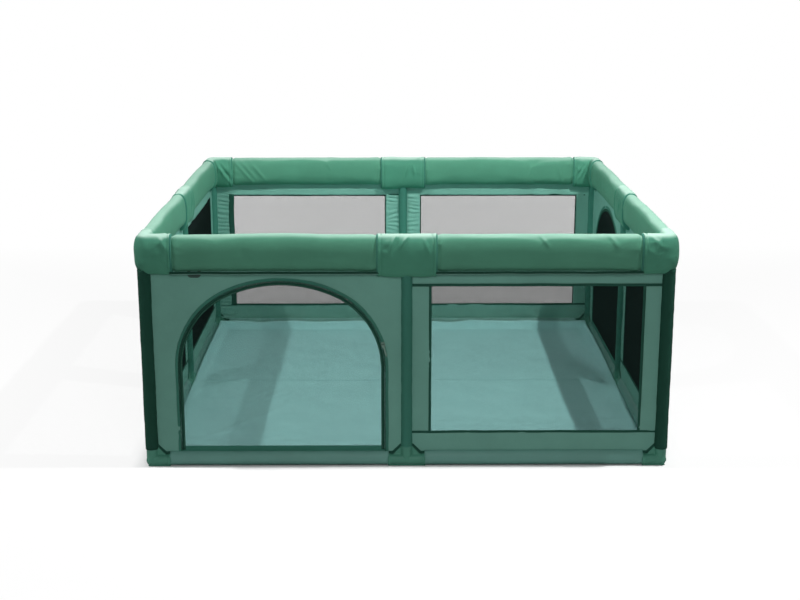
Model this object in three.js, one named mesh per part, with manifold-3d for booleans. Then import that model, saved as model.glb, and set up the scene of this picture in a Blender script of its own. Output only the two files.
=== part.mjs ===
// A square fabric playpen on a push-together tube frame.
//
// Units are millimetres, +Z is up, and the origin is on the floor under the middle of the pen. The front
// faces -Y.
//
// Four equal sides stand round a floor mat. Each side has a base rail and a top rail of two tubes that meet
// in a tee, a post in the middle and a post at its left end, seen from outside. Moulded joints hold the
// tubes. The cover is a wall of cloth and net on each side, with a sleeve for each post and a hem for each
// base tube, and foam pads over the top rail. The front wall and the right wall each have an arched doorway.
// Its net leaf is zipped in and folds out and down about its bottom edge.
//
// A side is built along X with its wall in the plane y = 0 and its middle at x = 0, then moved out and
// turned to place.

import * as THREE from "three";
import { mergeVertices } from "three/addons/utils/BufferGeometryUtils.js";
import Module from "manifold-3d";

const wasm = await Module();
wasm.setup();

// Overall
const POST_SPAN = 1466; // between the axes of two corner posts
const HEIGHT = 680; // floor to the top of the pads
const SEAM_GAP = 0.3; // between cloth edges that are sewn or zipped together
const FIT_GAP = 0.3; // all round a tube in a socket or a sleeve
const ROUND_STEPS = 12; // sides of a round tube
const CUT_OVERRUN = 5; // how far a cutting bar runs on past what it cuts

// Tubes
const TUBE_RADIUS = 12.5;
const TUBE_WALL = 0.6;

// Joints
const SOCKET_WALL = 4.2;
const SOCKET_STOP = 5.2; // plastic between the crossing bores, where a tube stops
const ARM_REACH = 53.5; // from the joint's centre to the mouth of a level socket
const RISER_REACH = 42; // from the joint's centre to the mouth of the upright socket
const STOP_GAP = 0.5; // between a tube's end and the stop
const FOOT_WIDTH = 22;
const FOOT_HEIGHT = 9;
const WEB_THICKNESS = 10;
const WEB_REACH = 34; // along the level arms of a tee
const WEB_RISE = 40; // along its riser
const WEB_SHOULDER = 4; // from the top of an arm down to the web's low corner
const WEB_TAPER = 2; // from the riser's side in to the web's high corner

// Pads over the top rail
const PAD_HEIGHT = 108;
const PAD_EDGE_RADIUS = 23;
const PAD_GAP = 0.4; // between the foam and the tubes and joints inside it
const FOAM_SIDE = 7.6; // least foam beside a joint
const FOAM_TOP = 9.6; // foam over a joint

// Walls
const CLOTH_THICKNESS = 3;
const NET_THICKNESS = 1;
const NET_LAP = 4; // how far a net runs into the cloth that it is sewn to
const SLEEVE_WALL = 3.2;
const HEM_WALL = 2.2; // beside the tube
const HEM_OVER = 13.2; // from the tube's room up to the top of the hem
const HEM_BOTTOM = 1;
const HEM_LAP = 6; // how far the wall runs down into its hem
const HEM_SHOULDER_RADIUS = 13;
const HEM_FOOT_RADIUS = 4;
const NOTCH_RISE = 29; // from the top of the hem to the top of the notch that clears a joint's riser
const HEM_END_GAP = 0.5; // between a hem and the mouth of a joint

// Windows, measured from the sleeves, the pads and the hem
const WINDOW_SIDE_STRIP = 50;
const WINDOW_TOP_STRIP = 38;
const WINDOW_BOTTOM_STRIP = 57;

// Doorways: straight sides, a haunch of a small radius at each side and a crown of a larger one
const DOOR_MIDDLE_STRIP = 46.5; // cloth between the doorway and the middle post's sleeve
const DOOR_CORNER_STRIP = 70.5; // cloth between the doorway and the corner post's sleeve
const DOOR_CROWN_GAP = 28; // from the crown of the arch up to the pads
const HAUNCH_OFFSET = 53; // from the door's middle to a haunch's centre
const CROWN_EXCESS = 78; // of the crown's radius over half the doorway's width
const ARC_STEPS = 7; // in each haunch, and in each half of the crown
const LEAF_GAP = 0.5;
const FOLD_GAP = 0.5; // between the hem and the leaf's foot as it folds
const LEAF_BORDER = 11;

// Zip slider and its pull, on the wall's side of the zip
const SLIDER_ANGLE = 16; // degrees round the haunch, up from the top of the straight side
const SLIDER_WIDTH = 10;
const SLIDER_HEIGHT = 16;
const SLIDER_THICKNESS = 4;
const CHEEK_WIDTH = 1.6;
const CHEEK_HEIGHT = 5;
const CHEEK_REACH = 4.6; // out from the slider's face
const PIVOT_REACH = 2.9; // from the slider's face to the pull's pivot
const PIVOT_RADIUS = 0.9;
const PULL_WIDTH = 5;
const PULL_THICKNESS = 2;
const PULL_LENGTH = 34;
const PULL_HEAD_RADIUS = 2.4;
const PULL_HOLE_RADIUS = 1.3;

// Strap loop under the front pads
const LOOP_POSITION = -593;
const LOOP_WIDTH = 38;
const LOOP_HEIGHT = 17;
const LOOP_THICKNESS = 2.4;
const LOOP_SIDE = 11; // width of the webbing beside the hole
const LOOP_EDGE = 5; // height of the webbing above and below the hole

// Floor mat
const MAT_THICKNESS = 4;
const MAT_LIFT = 1; // the joints' feet carry the pen just clear of the mat's underside
const MAT_GAP = 0.4;

// Worked out from the above
const HALF_SPAN = POST_SPAN / 2;
const CHANNEL_RADIUS = TUBE_RADIUS + FIT_GAP;
const SOCKET_RADIUS = CHANNEL_RADIUS + SOCKET_WALL;
const SOCKET_FLOOR = CHANNEL_RADIUS + SOCKET_STOP; // from the joint's centre
const SLEEVE_RADIUS = CHANNEL_RADIUS + SLEEVE_WALL;
const PAD_DEPTH = 2 * (SOCKET_RADIUS + PAD_GAP + FOAM_SIDE);
const PAD_BOTTOM = HEIGHT - PAD_HEIGHT;
const CLOTH_TOP = PAD_BOTTOM - SEAM_GAP;
const BASE_AXIS = SOCKET_RADIUS; // height of the base tubes' axes
const TOP_AXIS = HEIGHT - FOAM_TOP - PAD_GAP - SOCKET_RADIUS; // height of the top tubes' axes
const RISER_MOUTH = BASE_AXIS + RISER_REACH;
const HEM_DEPTH = 2 * (CHANNEL_RADIUS + HEM_WALL);
const HEM_TOP = BASE_AXIS + CHANNEL_RADIUS + HEM_OVER;
const FACE = CLOTH_THICKNESS / 2; // from the wall's plane to its surface
const HINGE_HEIGHT = HEM_TOP + FACE + FOLD_GAP;
const DOOR_HALF_WIDTH = (HALF_SPAN - 2 * SLEEVE_RADIUS - DOOR_MIDDLE_STRIP - DOOR_CORNER_STRIP) / 2;
const DOOR_CENTRE = SLEEVE_RADIUS + DOOR_MIDDLE_STRIP + DOOR_HALF_WIDTH; // from the side's middle
const HAUNCH_RADIUS = DOOR_HALF_WIDTH - HAUNCH_OFFSET;
const CROWN_RADIUS = DOOR_HALF_WIDTH + CROWN_EXCESS;
const CROWN_CENTRE = PAD_BOTTOM - DOOR_CROWN_GAP - CROWN_RADIUS; // height
const HAUNCH_LEG = Math.sqrt((CROWN_RADIUS - HAUNCH_RADIUS) ** 2 - HAUNCH_OFFSET ** 2);
const HAUNCH_CENTRE = CROWN_CENTRE + HAUNCH_LEG; // height, where the straight sides end
const HAUNCH_SWEEP = Math.atan2(HAUNCH_LEG, HAUNCH_OFFSET); // angle of a haunch

const paint = (color, roughness, metalness = 0) =>
  new THREE.MeshStandardMaterial({ color, roughness, metalness });

const materials = {
  steel: paint(0x9aa3a0, 0.45, 0.9),
  joint: paint(0x3f6a57, 0.5),
  pad: paint(0x4d8a72, 0.7),
  cloth: paint(0x5f8f7c, 0.75),
  leaf: paint(0x2c4a40, 0.8),
  mat: paint(0x7fb5a8, 0.8),
  zip: paint(0x2d4f42, 0.35, 0.4),
  strap: paint(0x2a5443, 0.8),
};

// Solids

// A closed three.js geometry as a solid that can be joined and cut.
function solidOf(geometry) {
  const bare = geometry.index ? geometry.toNonIndexed() : geometry.clone();
  bare.deleteAttribute("normal");
  bare.deleteAttribute("uv");
  const merged = mergeVertices(bare, 1e-4);
  return new wasm.Manifold(
    new wasm.Mesh({
      numProp: 3,
      vertProperties: merged.attributes.position.array,
      triVerts: new Uint32Array(merged.index.array),
    }),
  );
}

function geometryOf(solid) {
  const { vertProperties, triVerts } = solid.getMesh();
  const geometry = new THREE.BufferGeometry();
  geometry.setAttribute("position", new THREE.BufferAttribute(vertProperties, 3));
  geometry.setIndex(new THREE.BufferAttribute(triVerts, 1));
  return geometry;
}

const join = (...solids) => solids.reduce((all, one) => all.add(one));
const cut = (solid, ...tools) => tools.reduce((left, tool) => left.subtract(tool), solid);

const AXES = {
  x: new THREE.Vector3(1, 0, 0),
  y: new THREE.Vector3(0, 1, 0),
  z: new THREE.Vector3(0, 0, 1),
};

// A round bar along one axis, from one coordinate to another, through the point centre.
function bar(radius, axis, from, to, centre = [0, 0, 0]) {
  const geometry = new THREE.CylinderGeometry(radius, radius, to - from, ROUND_STEPS);
  geometry.translate(0, (from + to) / 2, 0);
  geometry.applyQuaternion(new THREE.Quaternion().setFromUnitVectors(AXES.y, AXES[axis]));
  geometry.translate(...centre);
  return solidOf(geometry);
}

// A block between two corners.
function block([x0, y0, z0], [x1, y1, z1]) {
  const geometry = new THREE.BoxGeometry(x1 - x0, y1 - y0, z1 - z0);
  geometry.translate((x0 + x1) / 2, (y0 + y1) / 2, (z0 + z1) / 2);
  return solidOf(geometry);
}

// A flat piece of an outline drawn in X and Z, centred on the plane y = 0.
function plate(outline, thickness) {
  const options = { depth: thickness, bevelEnabled: false, curveSegments: ARC_STEPS };
  const geometry = new THREE.ExtrudeGeometry(outline, options);
  geometry.rotateX(Math.PI / 2);
  geometry.translate(0, thickness / 2, 0);
  return solidOf(geometry);
}

// A bar along X from one coordinate to another, of an outline drawn in Y and Z.
function beam(outline, from, to) {
  const options = { depth: to - from, bevelEnabled: false, curveSegments: 4 };
  const geometry = new THREE.ExtrudeGeometry(outline, options);
  geometry.rotateX(Math.PI / 2);
  geometry.rotateZ(Math.PI / 2);
  geometry.translate(from, 0, 0);
  return solidOf(geometry);
}

const outlineOf = (points) => new THREE.Shape(points.map(([x, z]) => new THREE.Vector2(x, z)));

const rectangle = (x0, z0, x1, z1) =>
  outlineOf([
    [x0, z0],
    [x1, z0],
    [x1, z1],
    [x0, z1],
  ]);

// A rectangle centred on x = 0 with round corners, whose radii may differ between its top and its foot.
function roundedRectangle(width, z0, z1, topRadius, bottomRadius) {
  const half = width / 2;
  const shape = new THREE.Shape();
  shape.moveTo(-half + bottomRadius, z0);
  shape.absarc(half - bottomRadius, z0 + bottomRadius, bottomRadius, -Math.PI / 2, 0);
  shape.absarc(half - topRadius, z1 - topRadius, topRadius, 0, Math.PI / 2);
  shape.absarc(-half + topRadius, z1 - topRadius, topRadius, Math.PI / 2, Math.PI);
  shape.absarc(-half + bottomRadius, z0 + bottomRadius, bottomRadius, Math.PI, 1.5 * Math.PI);
  return shape;
}

// Tubes

// A hollow tube along X, from one coordinate to another.
function tube(from, to) {
  const inner = TUBE_RADIUS - TUBE_WALL;
  const profile = [
    [inner, from],
    [TUBE_RADIUS, from],
    [TUBE_RADIUS, to],
    [inner, to],
    [inner, from],
  ].map(([radius, along]) => new THREE.Vector2(radius, along));
  const geometry = new THREE.LatheGeometry(profile, ROUND_STEPS);
  geometry.rotateZ(-Math.PI / 2);
  return geometry;
}

const railTube = () => tube(-HALF_SPAN + SOCKET_FLOOR + STOP_GAP, -SOCKET_FLOOR - STOP_GAP);

function postTube() {
  const geometry = tube(
    BASE_AXIS + SOCKET_FLOOR + STOP_GAP,
    TOP_AXIS - SOCKET_FLOOR - STOP_GAP,
  );
  geometry.rotateY(-Math.PI / 2);
  return geometry;
}

// Joints, centred where the tubes' axes meet, with the riser up. grow swells them into the room that foam
// leaves round them.

function foot(x0, y0, x1, y1, grow) {
  const low = -SOCKET_RADIUS - grow;
  const high = -SOCKET_RADIUS + FOOT_HEIGHT + grow;
  return block([x0 - grow, y0 - grow, low], [x1 + grow, y1 + grow, high]);
}

function teeBody(grow = 0) {
  const radius = SOCKET_RADIUS + grow;
  const reach = ARM_REACH + grow;
  const web = outlineOf([
    [-WEB_REACH - grow, 0],
    [WEB_REACH + grow, 0],
    [WEB_REACH + grow, SOCKET_RADIUS - WEB_SHOULDER],
    [SOCKET_RADIUS - WEB_TAPER + grow, WEB_RISE],
    [-SOCKET_RADIUS + WEB_TAPER - grow, WEB_RISE],
    [-WEB_REACH - grow, SOCKET_RADIUS - WEB_SHOULDER],
  ]);
  return join(
    bar(radius, "x", -reach, reach),
    bar(radius, "z", 0, RISER_REACH + grow),
    foot(-ARM_REACH, -FOOT_WIDTH / 2, ARM_REACH, FOOT_WIDTH / 2, grow),
    plate(web, WEB_THICKNESS + 2 * grow),
  );
}

function cornerBody(grow = 0) {
  const radius = SOCKET_RADIUS + grow;
  const reach = ARM_REACH + grow;
  const ball = new THREE.SphereGeometry(radius, ROUND_STEPS, ROUND_STEPS / 2).rotateX(Math.PI / 2);
  return join(
    solidOf(ball),
    bar(radius, "x", 0, reach),
    bar(radius, "y", 0, reach),
    bar(radius, "z", 0, RISER_REACH + grow),
    foot(-FOOT_WIDTH / 2, -FOOT_WIDTH / 2, ARM_REACH, FOOT_WIDTH / 2, grow),
    foot(-FOOT_WIDTH / 2, -FOOT_WIDTH / 2, FOOT_WIDTH / 2, ARM_REACH, grow),
  );
}

const pastMouth = ARM_REACH + CUT_OVERRUN;
const riserBore = () => bar(CHANNEL_RADIUS, "z", SOCKET_FLOOR, pastMouth);

function teeJoint() {
  const left = bar(CHANNEL_RADIUS, "x", -pastMouth, -SOCKET_FLOOR);
  const right = bar(CHANNEL_RADIUS, "x", SOCKET_FLOOR, pastMouth);
  return geometryOf(cut(teeBody(), left, right, riserBore()));
}

function cornerJoint() {
  const along = bar(CHANNEL_RADIUS, "x", SOCKET_FLOOR, pastMouth);
  const inward = bar(CHANNEL_RADIUS, "y", SOCKET_FLOOR, pastMouth);
  return geometryOf(cut(cornerBody(), along, inward, riserBore()));
}

// The half turns that set a joint with its riser down.
const teeFlip = new THREE.Quaternion().setFromAxisAngle(AXES.x, Math.PI);
const cornerFlip = new THREE.Quaternion().setFromAxisAngle(
  new THREE.Vector3(1, 1, 0).normalize(),
  Math.PI,
);

// Pads

// The room for an upside-down joint at the top rail, with its post below.
function topJointRoom(body, flip, x) {
  const room = geometryOf(body(PAD_GAP)).applyQuaternion(flip).translate(x, 0, TOP_AXIS);
  const low = PAD_BOTTOM - CUT_OVERRUN;
  const post = bar(TUBE_RADIUS + PAD_GAP, "z", low, TOP_AXIS, [x, 0, 0]);
  return solidOf(room).add(post);
}

// The pad over the left half of a side's top rail, mitred at the corner.
function railPad() {
  const radius = Math.min(PAD_EDGE_RADIUS, PAD_DEPTH / 2 - 1);
  const section = roundedRectangle(PAD_DEPTH, PAD_BOTTOM, HEIGHT, radius, radius);
  const foam = beam(section, -HALF_SPAN - PAD_DEPTH / 2, -SEAM_GAP / 2);
  const channel = bar(TUBE_RADIUS + PAD_GAP, "x", -HALF_SPAN, 0, [0, 0, TOP_AXIS]);
  const reach = 2 * PAD_DEPTH;
  const wedge = new THREE.BoxGeometry(2 * reach, 2 * reach, 2 * HEIGHT);
  wedge.translate(-reach + SEAM_GAP / 2, 0, HEIGHT / 2);
  wedge.rotateZ(-Math.PI / 4);
  wedge.translate(-HALF_SPAN, 0, 0);
  return geometryOf(
    cut(
      foam,
      channel,
      topJointRoom(cornerBody, cornerFlip, -HALF_SPAN),
      topJointRoom(teeBody, teeFlip, 0),
      solidOf(wedge),
    ),
  );
}

// Walls

// An arch centred on x, from a foot at the height given, drawn smaller by inset all round except at its foot.
function archOutline(x, inset, footHeight) {
  const halfWidth = DOOR_HALF_WIDTH - inset;
  const haunch = HAUNCH_RADIUS - inset;
  const crown = CROWN_RADIUS - inset;
  const shape = new THREE.Shape();
  shape.moveTo(x - halfWidth, footHeight);
  shape.lineTo(x + halfWidth, footHeight);
  shape.absarc(x + HAUNCH_OFFSET, HAUNCH_CENTRE, haunch, 0, HAUNCH_SWEEP);
  shape.absarc(x, CROWN_CENTRE, crown, HAUNCH_SWEEP, Math.PI - HAUNCH_SWEEP);
  shape.absarc(x - HAUNCH_OFFSET, HAUNCH_CENTRE, haunch, Math.PI - HAUNCH_SWEEP, Math.PI);
  return shape;
}

// The two panels of a wall are named by the end of the side that they are at: -1 is left and 1 is right,
// seen from outside.
const windowEdges = (end) => {
  const near = SLEEVE_RADIUS + WINDOW_SIDE_STRIP;
  const far = HALF_SPAN - SLEEVE_RADIUS - WINDOW_SIDE_STRIP;
  return end < 0 ? [-far, -near] : [near, far];
};
const WINDOW_BOTTOM = HEM_TOP + WINDOW_BOTTOM_STRIP;
const WINDOW_TOP = PAD_BOTTOM - WINDOW_TOP_STRIP;

function windowHole(end) {
  const [left, right] = windowEdges(end);
  return plate(rectangle(left, WINDOW_BOTTOM, right, WINDOW_TOP), 2 * CLOTH_THICKNESS);
}

function windowNet(end) {
  const [left, right] = windowEdges(end);
  const outline = rectangle(
    left - NET_LAP,
    WINDOW_BOTTOM - NET_LAP,
    right + NET_LAP,
    WINDOW_TOP + NET_LAP,
  );
  return plate(outline, NET_THICKNESS);
}

// The part of the wall's foot that stands back from a joint, at the post at x.
function notch(x) {
  const hemEnd = ARM_REACH + HEM_END_GAP;
  const outline = outlineOf([
    [x - hemEnd, 0],
    [x + hemEnd, 0],
    [x + hemEnd, HEM_TOP],
    [x + SLEEVE_RADIUS, HEM_TOP + NOTCH_RISE],
    [x - SLEEVE_RADIUS, HEM_TOP + NOTCH_RISE],
    [x - hemEnd, HEM_TOP],
  ]);
  return plate(outline, 2 * HEM_DEPTH);
}

// The hem that runs round a base tube, at one end of the side.
function hem(end) {
  const section = roundedRectangle(
    HEM_DEPTH,
    HEM_BOTTOM,
    HEM_TOP,
    Math.min(HEM_SHOULDER_RADIUS, HEM_DEPTH / 2 - 1),
    HEM_FOOT_RADIUS,
  );
  const near = ARM_REACH + HEM_END_GAP;
  const far = HALF_SPAN - ARM_REACH - HEM_END_GAP;
  return end < 0 ? beam(section, -far, -near) : beam(section, near, far);
}

// The wall of one side, with its sleeves and hems. doorEnd is the end that has the doorway, or 0 for two
// windows.
function wall(doorEnd) {
  const rightEdge = HALF_SPAN - SLEEVE_RADIUS - SEAM_GAP;
  const cloth = plate(
    rectangle(-HALF_SPAN, HEM_TOP - HEM_LAP, rightEdge, CLOTH_TOP),
    CLOTH_THICKNESS,
  );
  const openings = [-1, 1].map((end) =>
    end === doorEnd
      ? plate(archOutline(end * DOOR_CENTRE, 0, HEM_TOP), 2 * CLOTH_THICKNESS)
      : windowHole(end),
  );
  const nets = [-1, 1].filter((end) => end !== doorEnd).map(windowNet);
  const posts = [-HALF_SPAN, 0];
  const sleeves = posts.map((x) =>
    bar(SLEEVE_RADIUS, "z", RISER_MOUTH + SEAM_GAP, CLOTH_TOP, [x, 0, 0]),
  );
  const postRoom = posts.map((x) => bar(CHANNEL_RADIUS, "z", 0, HEIGHT, [x, 0, 0]));
  const tubeRoom = bar(CHANNEL_RADIUS, "x", -HALF_SPAN, HALF_SPAN, [0, 0, BASE_AXIS]);
  const sheet = cut(cloth, ...openings, ...[-HALF_SPAN, 0, HALF_SPAN].map(notch));
  return geometryOf(
    cut(join(sheet, ...nets, ...sleeves, hem(-1), hem(1)), ...postRoom, tubeRoom),
  );
}

// Doors

// The net leaf of the doorway at one end of a side, with its cloth border.
function doorLeaf(doorEnd) {
  const x = doorEnd * DOOR_CENTRE;
  const outer = plate(archOutline(x, LEAF_GAP, HINGE_HEIGHT), CLOTH_THICKNESS);
  const middle = archOutline(x, LEAF_GAP + LEAF_BORDER, HINGE_HEIGHT + LEAF_BORDER);
  const net = archOutline(
    x,
    LEAF_GAP + LEAF_BORDER - NET_LAP,
    HINGE_HEIGHT + LEAF_BORDER - NET_LAP,
  );
  return geometryOf(cut(outer, plate(middle, 2 * CLOTH_THICKNESS)).add(plate(net, NET_THICKNESS)));
}

// A zip slider outside the wall, centred on its own width and height, with the bridge that its pull hangs
// from.
function zipSlider() {
  const back = -FACE - SEAM_GAP;
  const front = back - SLIDER_THICKNESS;
  const halfWidth = SLIDER_WIDTH / 2;
  const halfHeight = SLIDER_HEIGHT / 2;
  const body = block([-halfWidth, front, -halfHeight], [halfWidth, back, halfHeight]);
  const cheeks = [-1, 1].map((end) => {
    const outer = end * halfWidth;
    const inner = end * (halfWidth - CHEEK_WIDTH);
    return block(
      [Math.min(outer, inner), front - CHEEK_REACH, -CHEEK_HEIGHT / 2],
      [Math.max(outer, inner), front, CHEEK_HEIGHT / 2],
    );
  });
  const pivot = bar(PIVOT_RADIUS, "x", -halfWidth, halfWidth, [0, front - PIVOT_REACH, 0]);
  return geometryOf(join(body, ...cheeks, pivot));
}

// The tab that hangs from the slider's bridge. Its pivot is at the origin.
function zipPull() {
  const halfWidth = PULL_WIDTH / 2;
  const halfThickness = PULL_THICKNESS / 2;
  const head = bar(PULL_HEAD_RADIUS, "x", -halfWidth, halfWidth);
  const tab = block([-halfWidth, -halfThickness, -PULL_LENGTH], [halfWidth, halfThickness, 0]);
  const hole = bar(PULL_HOLE_RADIUS, "x", -PULL_WIDTH, PULL_WIDTH);
  return geometryOf(cut(head.add(tab), hole));
}

const pivotOut = -FACE - SEAM_GAP - SLIDER_THICKNESS - PIVOT_REACH;

// A group turned about the centre of the haunch by the middle post, so that the slider stands on the arch
// in it.
function sliderTurn(doorEnd) {
  const turn = new THREE.Group();
  turn.position.set(doorEnd * (DOOR_CENTRE - HAUNCH_OFFSET), 0, HAUNCH_CENTRE);
  turn.rotation.y = doorEnd * THREE.MathUtils.degToRad(SLIDER_ANGLE);
  return turn;
}
const sliderOut = HAUNCH_RADIUS + LEAF_GAP + SLIDER_WIDTH / 2; // from the haunch's centre

// Small pieces

// A flat loop of webbing sewn under the front pads, which ties back what is hung on it.
function strapLoop() {
  const top = CLOTH_TOP;
  const bottom = top - LOOP_HEIGHT;
  const half = LOOP_WIDTH / 2;
  const holeHalf = half - LOOP_SIDE;
  const outline = rectangle(-half, bottom, half, top);
  const hole = rectangle(-holeHalf, bottom + LOOP_EDGE, holeHalf, top - LOOP_EDGE);
  return geometryOf(cut(plate(outline, LOOP_THICKNESS), plate(hole, 2 * LOOP_THICKNESS)));
}

function floorMat() {
  const half = HALF_SPAN - HEM_DEPTH / 2 - MAT_GAP;
  return geometryOf(block([-half, -half, MAT_LIFT], [half, half, MAT_LIFT + MAT_THICKNESS]));
}

// Assembly

const shapes = {
  tube: railTube(),
  post: postTube(),
  tee: teeJoint(),
  corner: cornerJoint(),
  pad: railPad(),
  slider: zipSlider(),
  pull: zipPull(),
};

function piece(name, geometry, material, parent, position = [0, 0, 0]) {
  const mesh = new THREE.Mesh(geometry, material);
  mesh.name = name;
  mesh.position.set(...position);
  parent.add(mesh);
  return mesh;
}

// Each side, the corner at its left end and its two halves from left to right, all seen from outside.
const sides = [
  { name: "front", corner: "front_left", halves: ["left", "right"], doorEnd: -1 },
  { name: "right", corner: "front_right", halves: ["front", "back"], doorEnd: 1 },
  { name: "back", corner: "back_right", halves: ["right", "left"], doorEnd: 0 },
  { name: "left", corner: "back_left", halves: ["back", "front"], doorEnd: 0 },
];

function addFrame(line, { name, corner, halves }) {
  const { tee, corner: cornerShape, post, tube: rail, pad } = shapes;
  const { joint, steel, pad: foam } = materials;
  piece(`${corner}_base_joint`, cornerShape, joint, line, [-HALF_SPAN, 0, BASE_AXIS]);
  piece(`${corner}_post`, post, steel, line, [-HALF_SPAN, 0, 0]);
  const topCorner = piece(`${corner}_top_joint`, cornerShape, joint, line, [-HALF_SPAN, 0, TOP_AXIS]);
  topCorner.quaternion.copy(cornerFlip);
  piece(`${name}_base_tee`, tee, joint, line, [0, 0, BASE_AXIS]);
  piece(`${name}_middle_post`, post, steel, line);
  const topTee = piece(`${name}_top_tee`, tee, joint, line, [0, 0, TOP_AXIS]);
  topTee.quaternion.copy(teeFlip);
  halves.forEach((half, index) => {
    const mirror = index === 0 ? 1 : -1; // the right half mirrors the left
    const pieces = [
      piece(`${name}_base_tube_${half}`, rail, steel, line, [0, 0, BASE_AXIS]),
      piece(`${name}_top_tube_${half}`, rail, steel, line, [0, 0, TOP_AXIS]),
      piece(`${name}_rail_pad_${half}`, pad, foam, line),
    ];
    pieces.forEach((mesh) => {
      mesh.scale.x = mirror;
    });
  });
}

function addDoor(line, { name, doorEnd }) {
  const turn = sliderTurn(doorEnd);
  const x = -doorEnd * sliderOut;
  line.add(turn);
  piece(`${name}_door_leaf`, doorLeaf(doorEnd), materials.leaf, line);
  piece(`${name}_zip_slider`, shapes.slider, materials.zip, turn, [x, 0, 0]);
  piece(`${name}_zip_pull`, shapes.pull, materials.zip, turn, [x, pivotOut, 0]);
}

const playpen = new THREE.Group();

sides.forEach((side, index) => {
  const turned = new THREE.Group();
  turned.rotation.z = (index * Math.PI) / 2;
  const line = new THREE.Group();
  line.position.y = -HALF_SPAN;
  turned.add(line);
  playpen.add(turned);
  addFrame(line, side);
  piece(`${side.name}_wall`, wall(side.doorEnd), materials.cloth, line);
  if (side.doorEnd) addDoor(line, side);
  if (side.name === "front") {
    const loopOut = -FACE - SEAM_GAP - LOOP_THICKNESS / 2;
    piece("strap_loop", strapLoop(), materials.strap, line, [LOOP_POSITION, loopOut, 0]);
  }
});

piece("floor_mat", floorMat(), materials.mat, playpen);

export default playpen;
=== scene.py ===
"""The looks of a square fabric playpen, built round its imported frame.

Lengths are metres, +Z is up and the origin is on the floor under the middle of the pen. The front faces -Y.
A side is drawn in its own frame, with X along it from left to right seen from outside, Y inwards from its
wall and Z up, and place() sets it in the pen. A half of a side is drawn by its distance from the middle
post, so that both halves share their code.
"""

import math

import bmesh
import bpy
import numpy as np
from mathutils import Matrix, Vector


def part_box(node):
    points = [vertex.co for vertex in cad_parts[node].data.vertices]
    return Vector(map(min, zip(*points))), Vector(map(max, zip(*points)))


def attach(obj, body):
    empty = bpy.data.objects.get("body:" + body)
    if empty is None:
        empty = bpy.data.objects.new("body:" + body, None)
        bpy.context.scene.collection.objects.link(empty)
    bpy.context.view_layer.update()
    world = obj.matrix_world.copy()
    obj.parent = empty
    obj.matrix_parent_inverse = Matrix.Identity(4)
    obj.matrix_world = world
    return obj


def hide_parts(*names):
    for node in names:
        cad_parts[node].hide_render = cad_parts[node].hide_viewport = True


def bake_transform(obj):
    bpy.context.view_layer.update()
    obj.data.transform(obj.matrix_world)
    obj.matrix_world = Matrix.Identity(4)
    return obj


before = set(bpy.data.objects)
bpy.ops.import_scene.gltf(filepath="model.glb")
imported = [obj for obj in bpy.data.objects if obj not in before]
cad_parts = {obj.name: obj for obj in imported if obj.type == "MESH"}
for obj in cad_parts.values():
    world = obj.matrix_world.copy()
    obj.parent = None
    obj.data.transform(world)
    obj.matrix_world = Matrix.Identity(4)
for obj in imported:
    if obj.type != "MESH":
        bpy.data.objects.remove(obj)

bl_info = {
    "name": "Fabric playpen",
    "version": (1, 0, 0),
    "blender": (4, 5, 0),
    "location": "View3D > Sidebar > Playpen",
    "description": "Builds the cover, doors, mat and joints of a square playpen on its frame",
    "category": "Object",
}

# Each side: its name, the corner at its left end, its halves from left to right, and the half with a
# doorway, -1 for the left one, 1 for the right one and 0 for none.
SIDES = (
    ("front", "front_left", ("left", "right"), -1),
    ("right", "front_right", ("front", "back"), 1),
    ("back", "back_right", ("right", "left"), 0),
    ("left", "back_left", ("back", "front"), 0),
)
TURNS = ((1, 0), (0, 1), (-1, 0), (0, -1))  # cosine and sine of each side's quarter turns
MICRON = 0.000001
CUSHION_COLUMNS = 44  # points round a cushion
RAIL_SQUARENESS = 2 / 2.7  # the power that makes the rail's oval squarer
COVER_LAP = 0.02  # how far a cushion runs in under the covers at its ends
COVER_ROOM = 0.0015  # how much smaller a cushion starts than it is when it is filled
DOOR_LAP = 0.011  # how far a door's net stops short of its leaf's edge
GUSSET_REACH = 0.039  # of a moulded joint's web, from its middle
LIP, LIP_LENGTH = 0.0012, 0.007  # of the collar at the end of a socket
FOOT_WIDTH, FOOT_TOP = 0.022, -0.008  # of a joint's flat foot, with its top from the arms' axis
MAT_SEAM = 0.037  # where the mat's cross seam lies, behind the middle of the pen
MAT_CURL = 0.031  # how high the mat turns up at its back
STAGE_REACH = 30  # from the middle of the floor to its edges
FADE_SPAN = 3.0  # the distance that the floor's colour ramp spans
AIM = Vector((0, 0, 0.3))  # what the lamps point at
CAMERA_PLACE = (-0.039, -4.41, 1.428)
CAMERA_LENS = 60.9
CAMERA_DIP, CAMERA_TURN = 14.3, -0.31  # in degrees
PAINTED_TOP_COLOUR = (0.45, 0.66, 0.56, 1.0)  # painted highlight: the pale colour painted on the rail cloth's upward faces for the light from above

# Each lamp: its name, place, width and watts
LAMPS = (
    ("left_lamp", (-1.70, -0.7, 3.0), 0.07, 52.0),
    ("right_lamp", (1.39, -0.77, 3.0), 0.06, 84.0),
    ("front_lamp", (0.05, -3.0, 1.75), 1.2, 17.5),
    ("back_lamp", (0.0, 3.0, 2.4), 2.2, 24.0),
)

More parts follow.
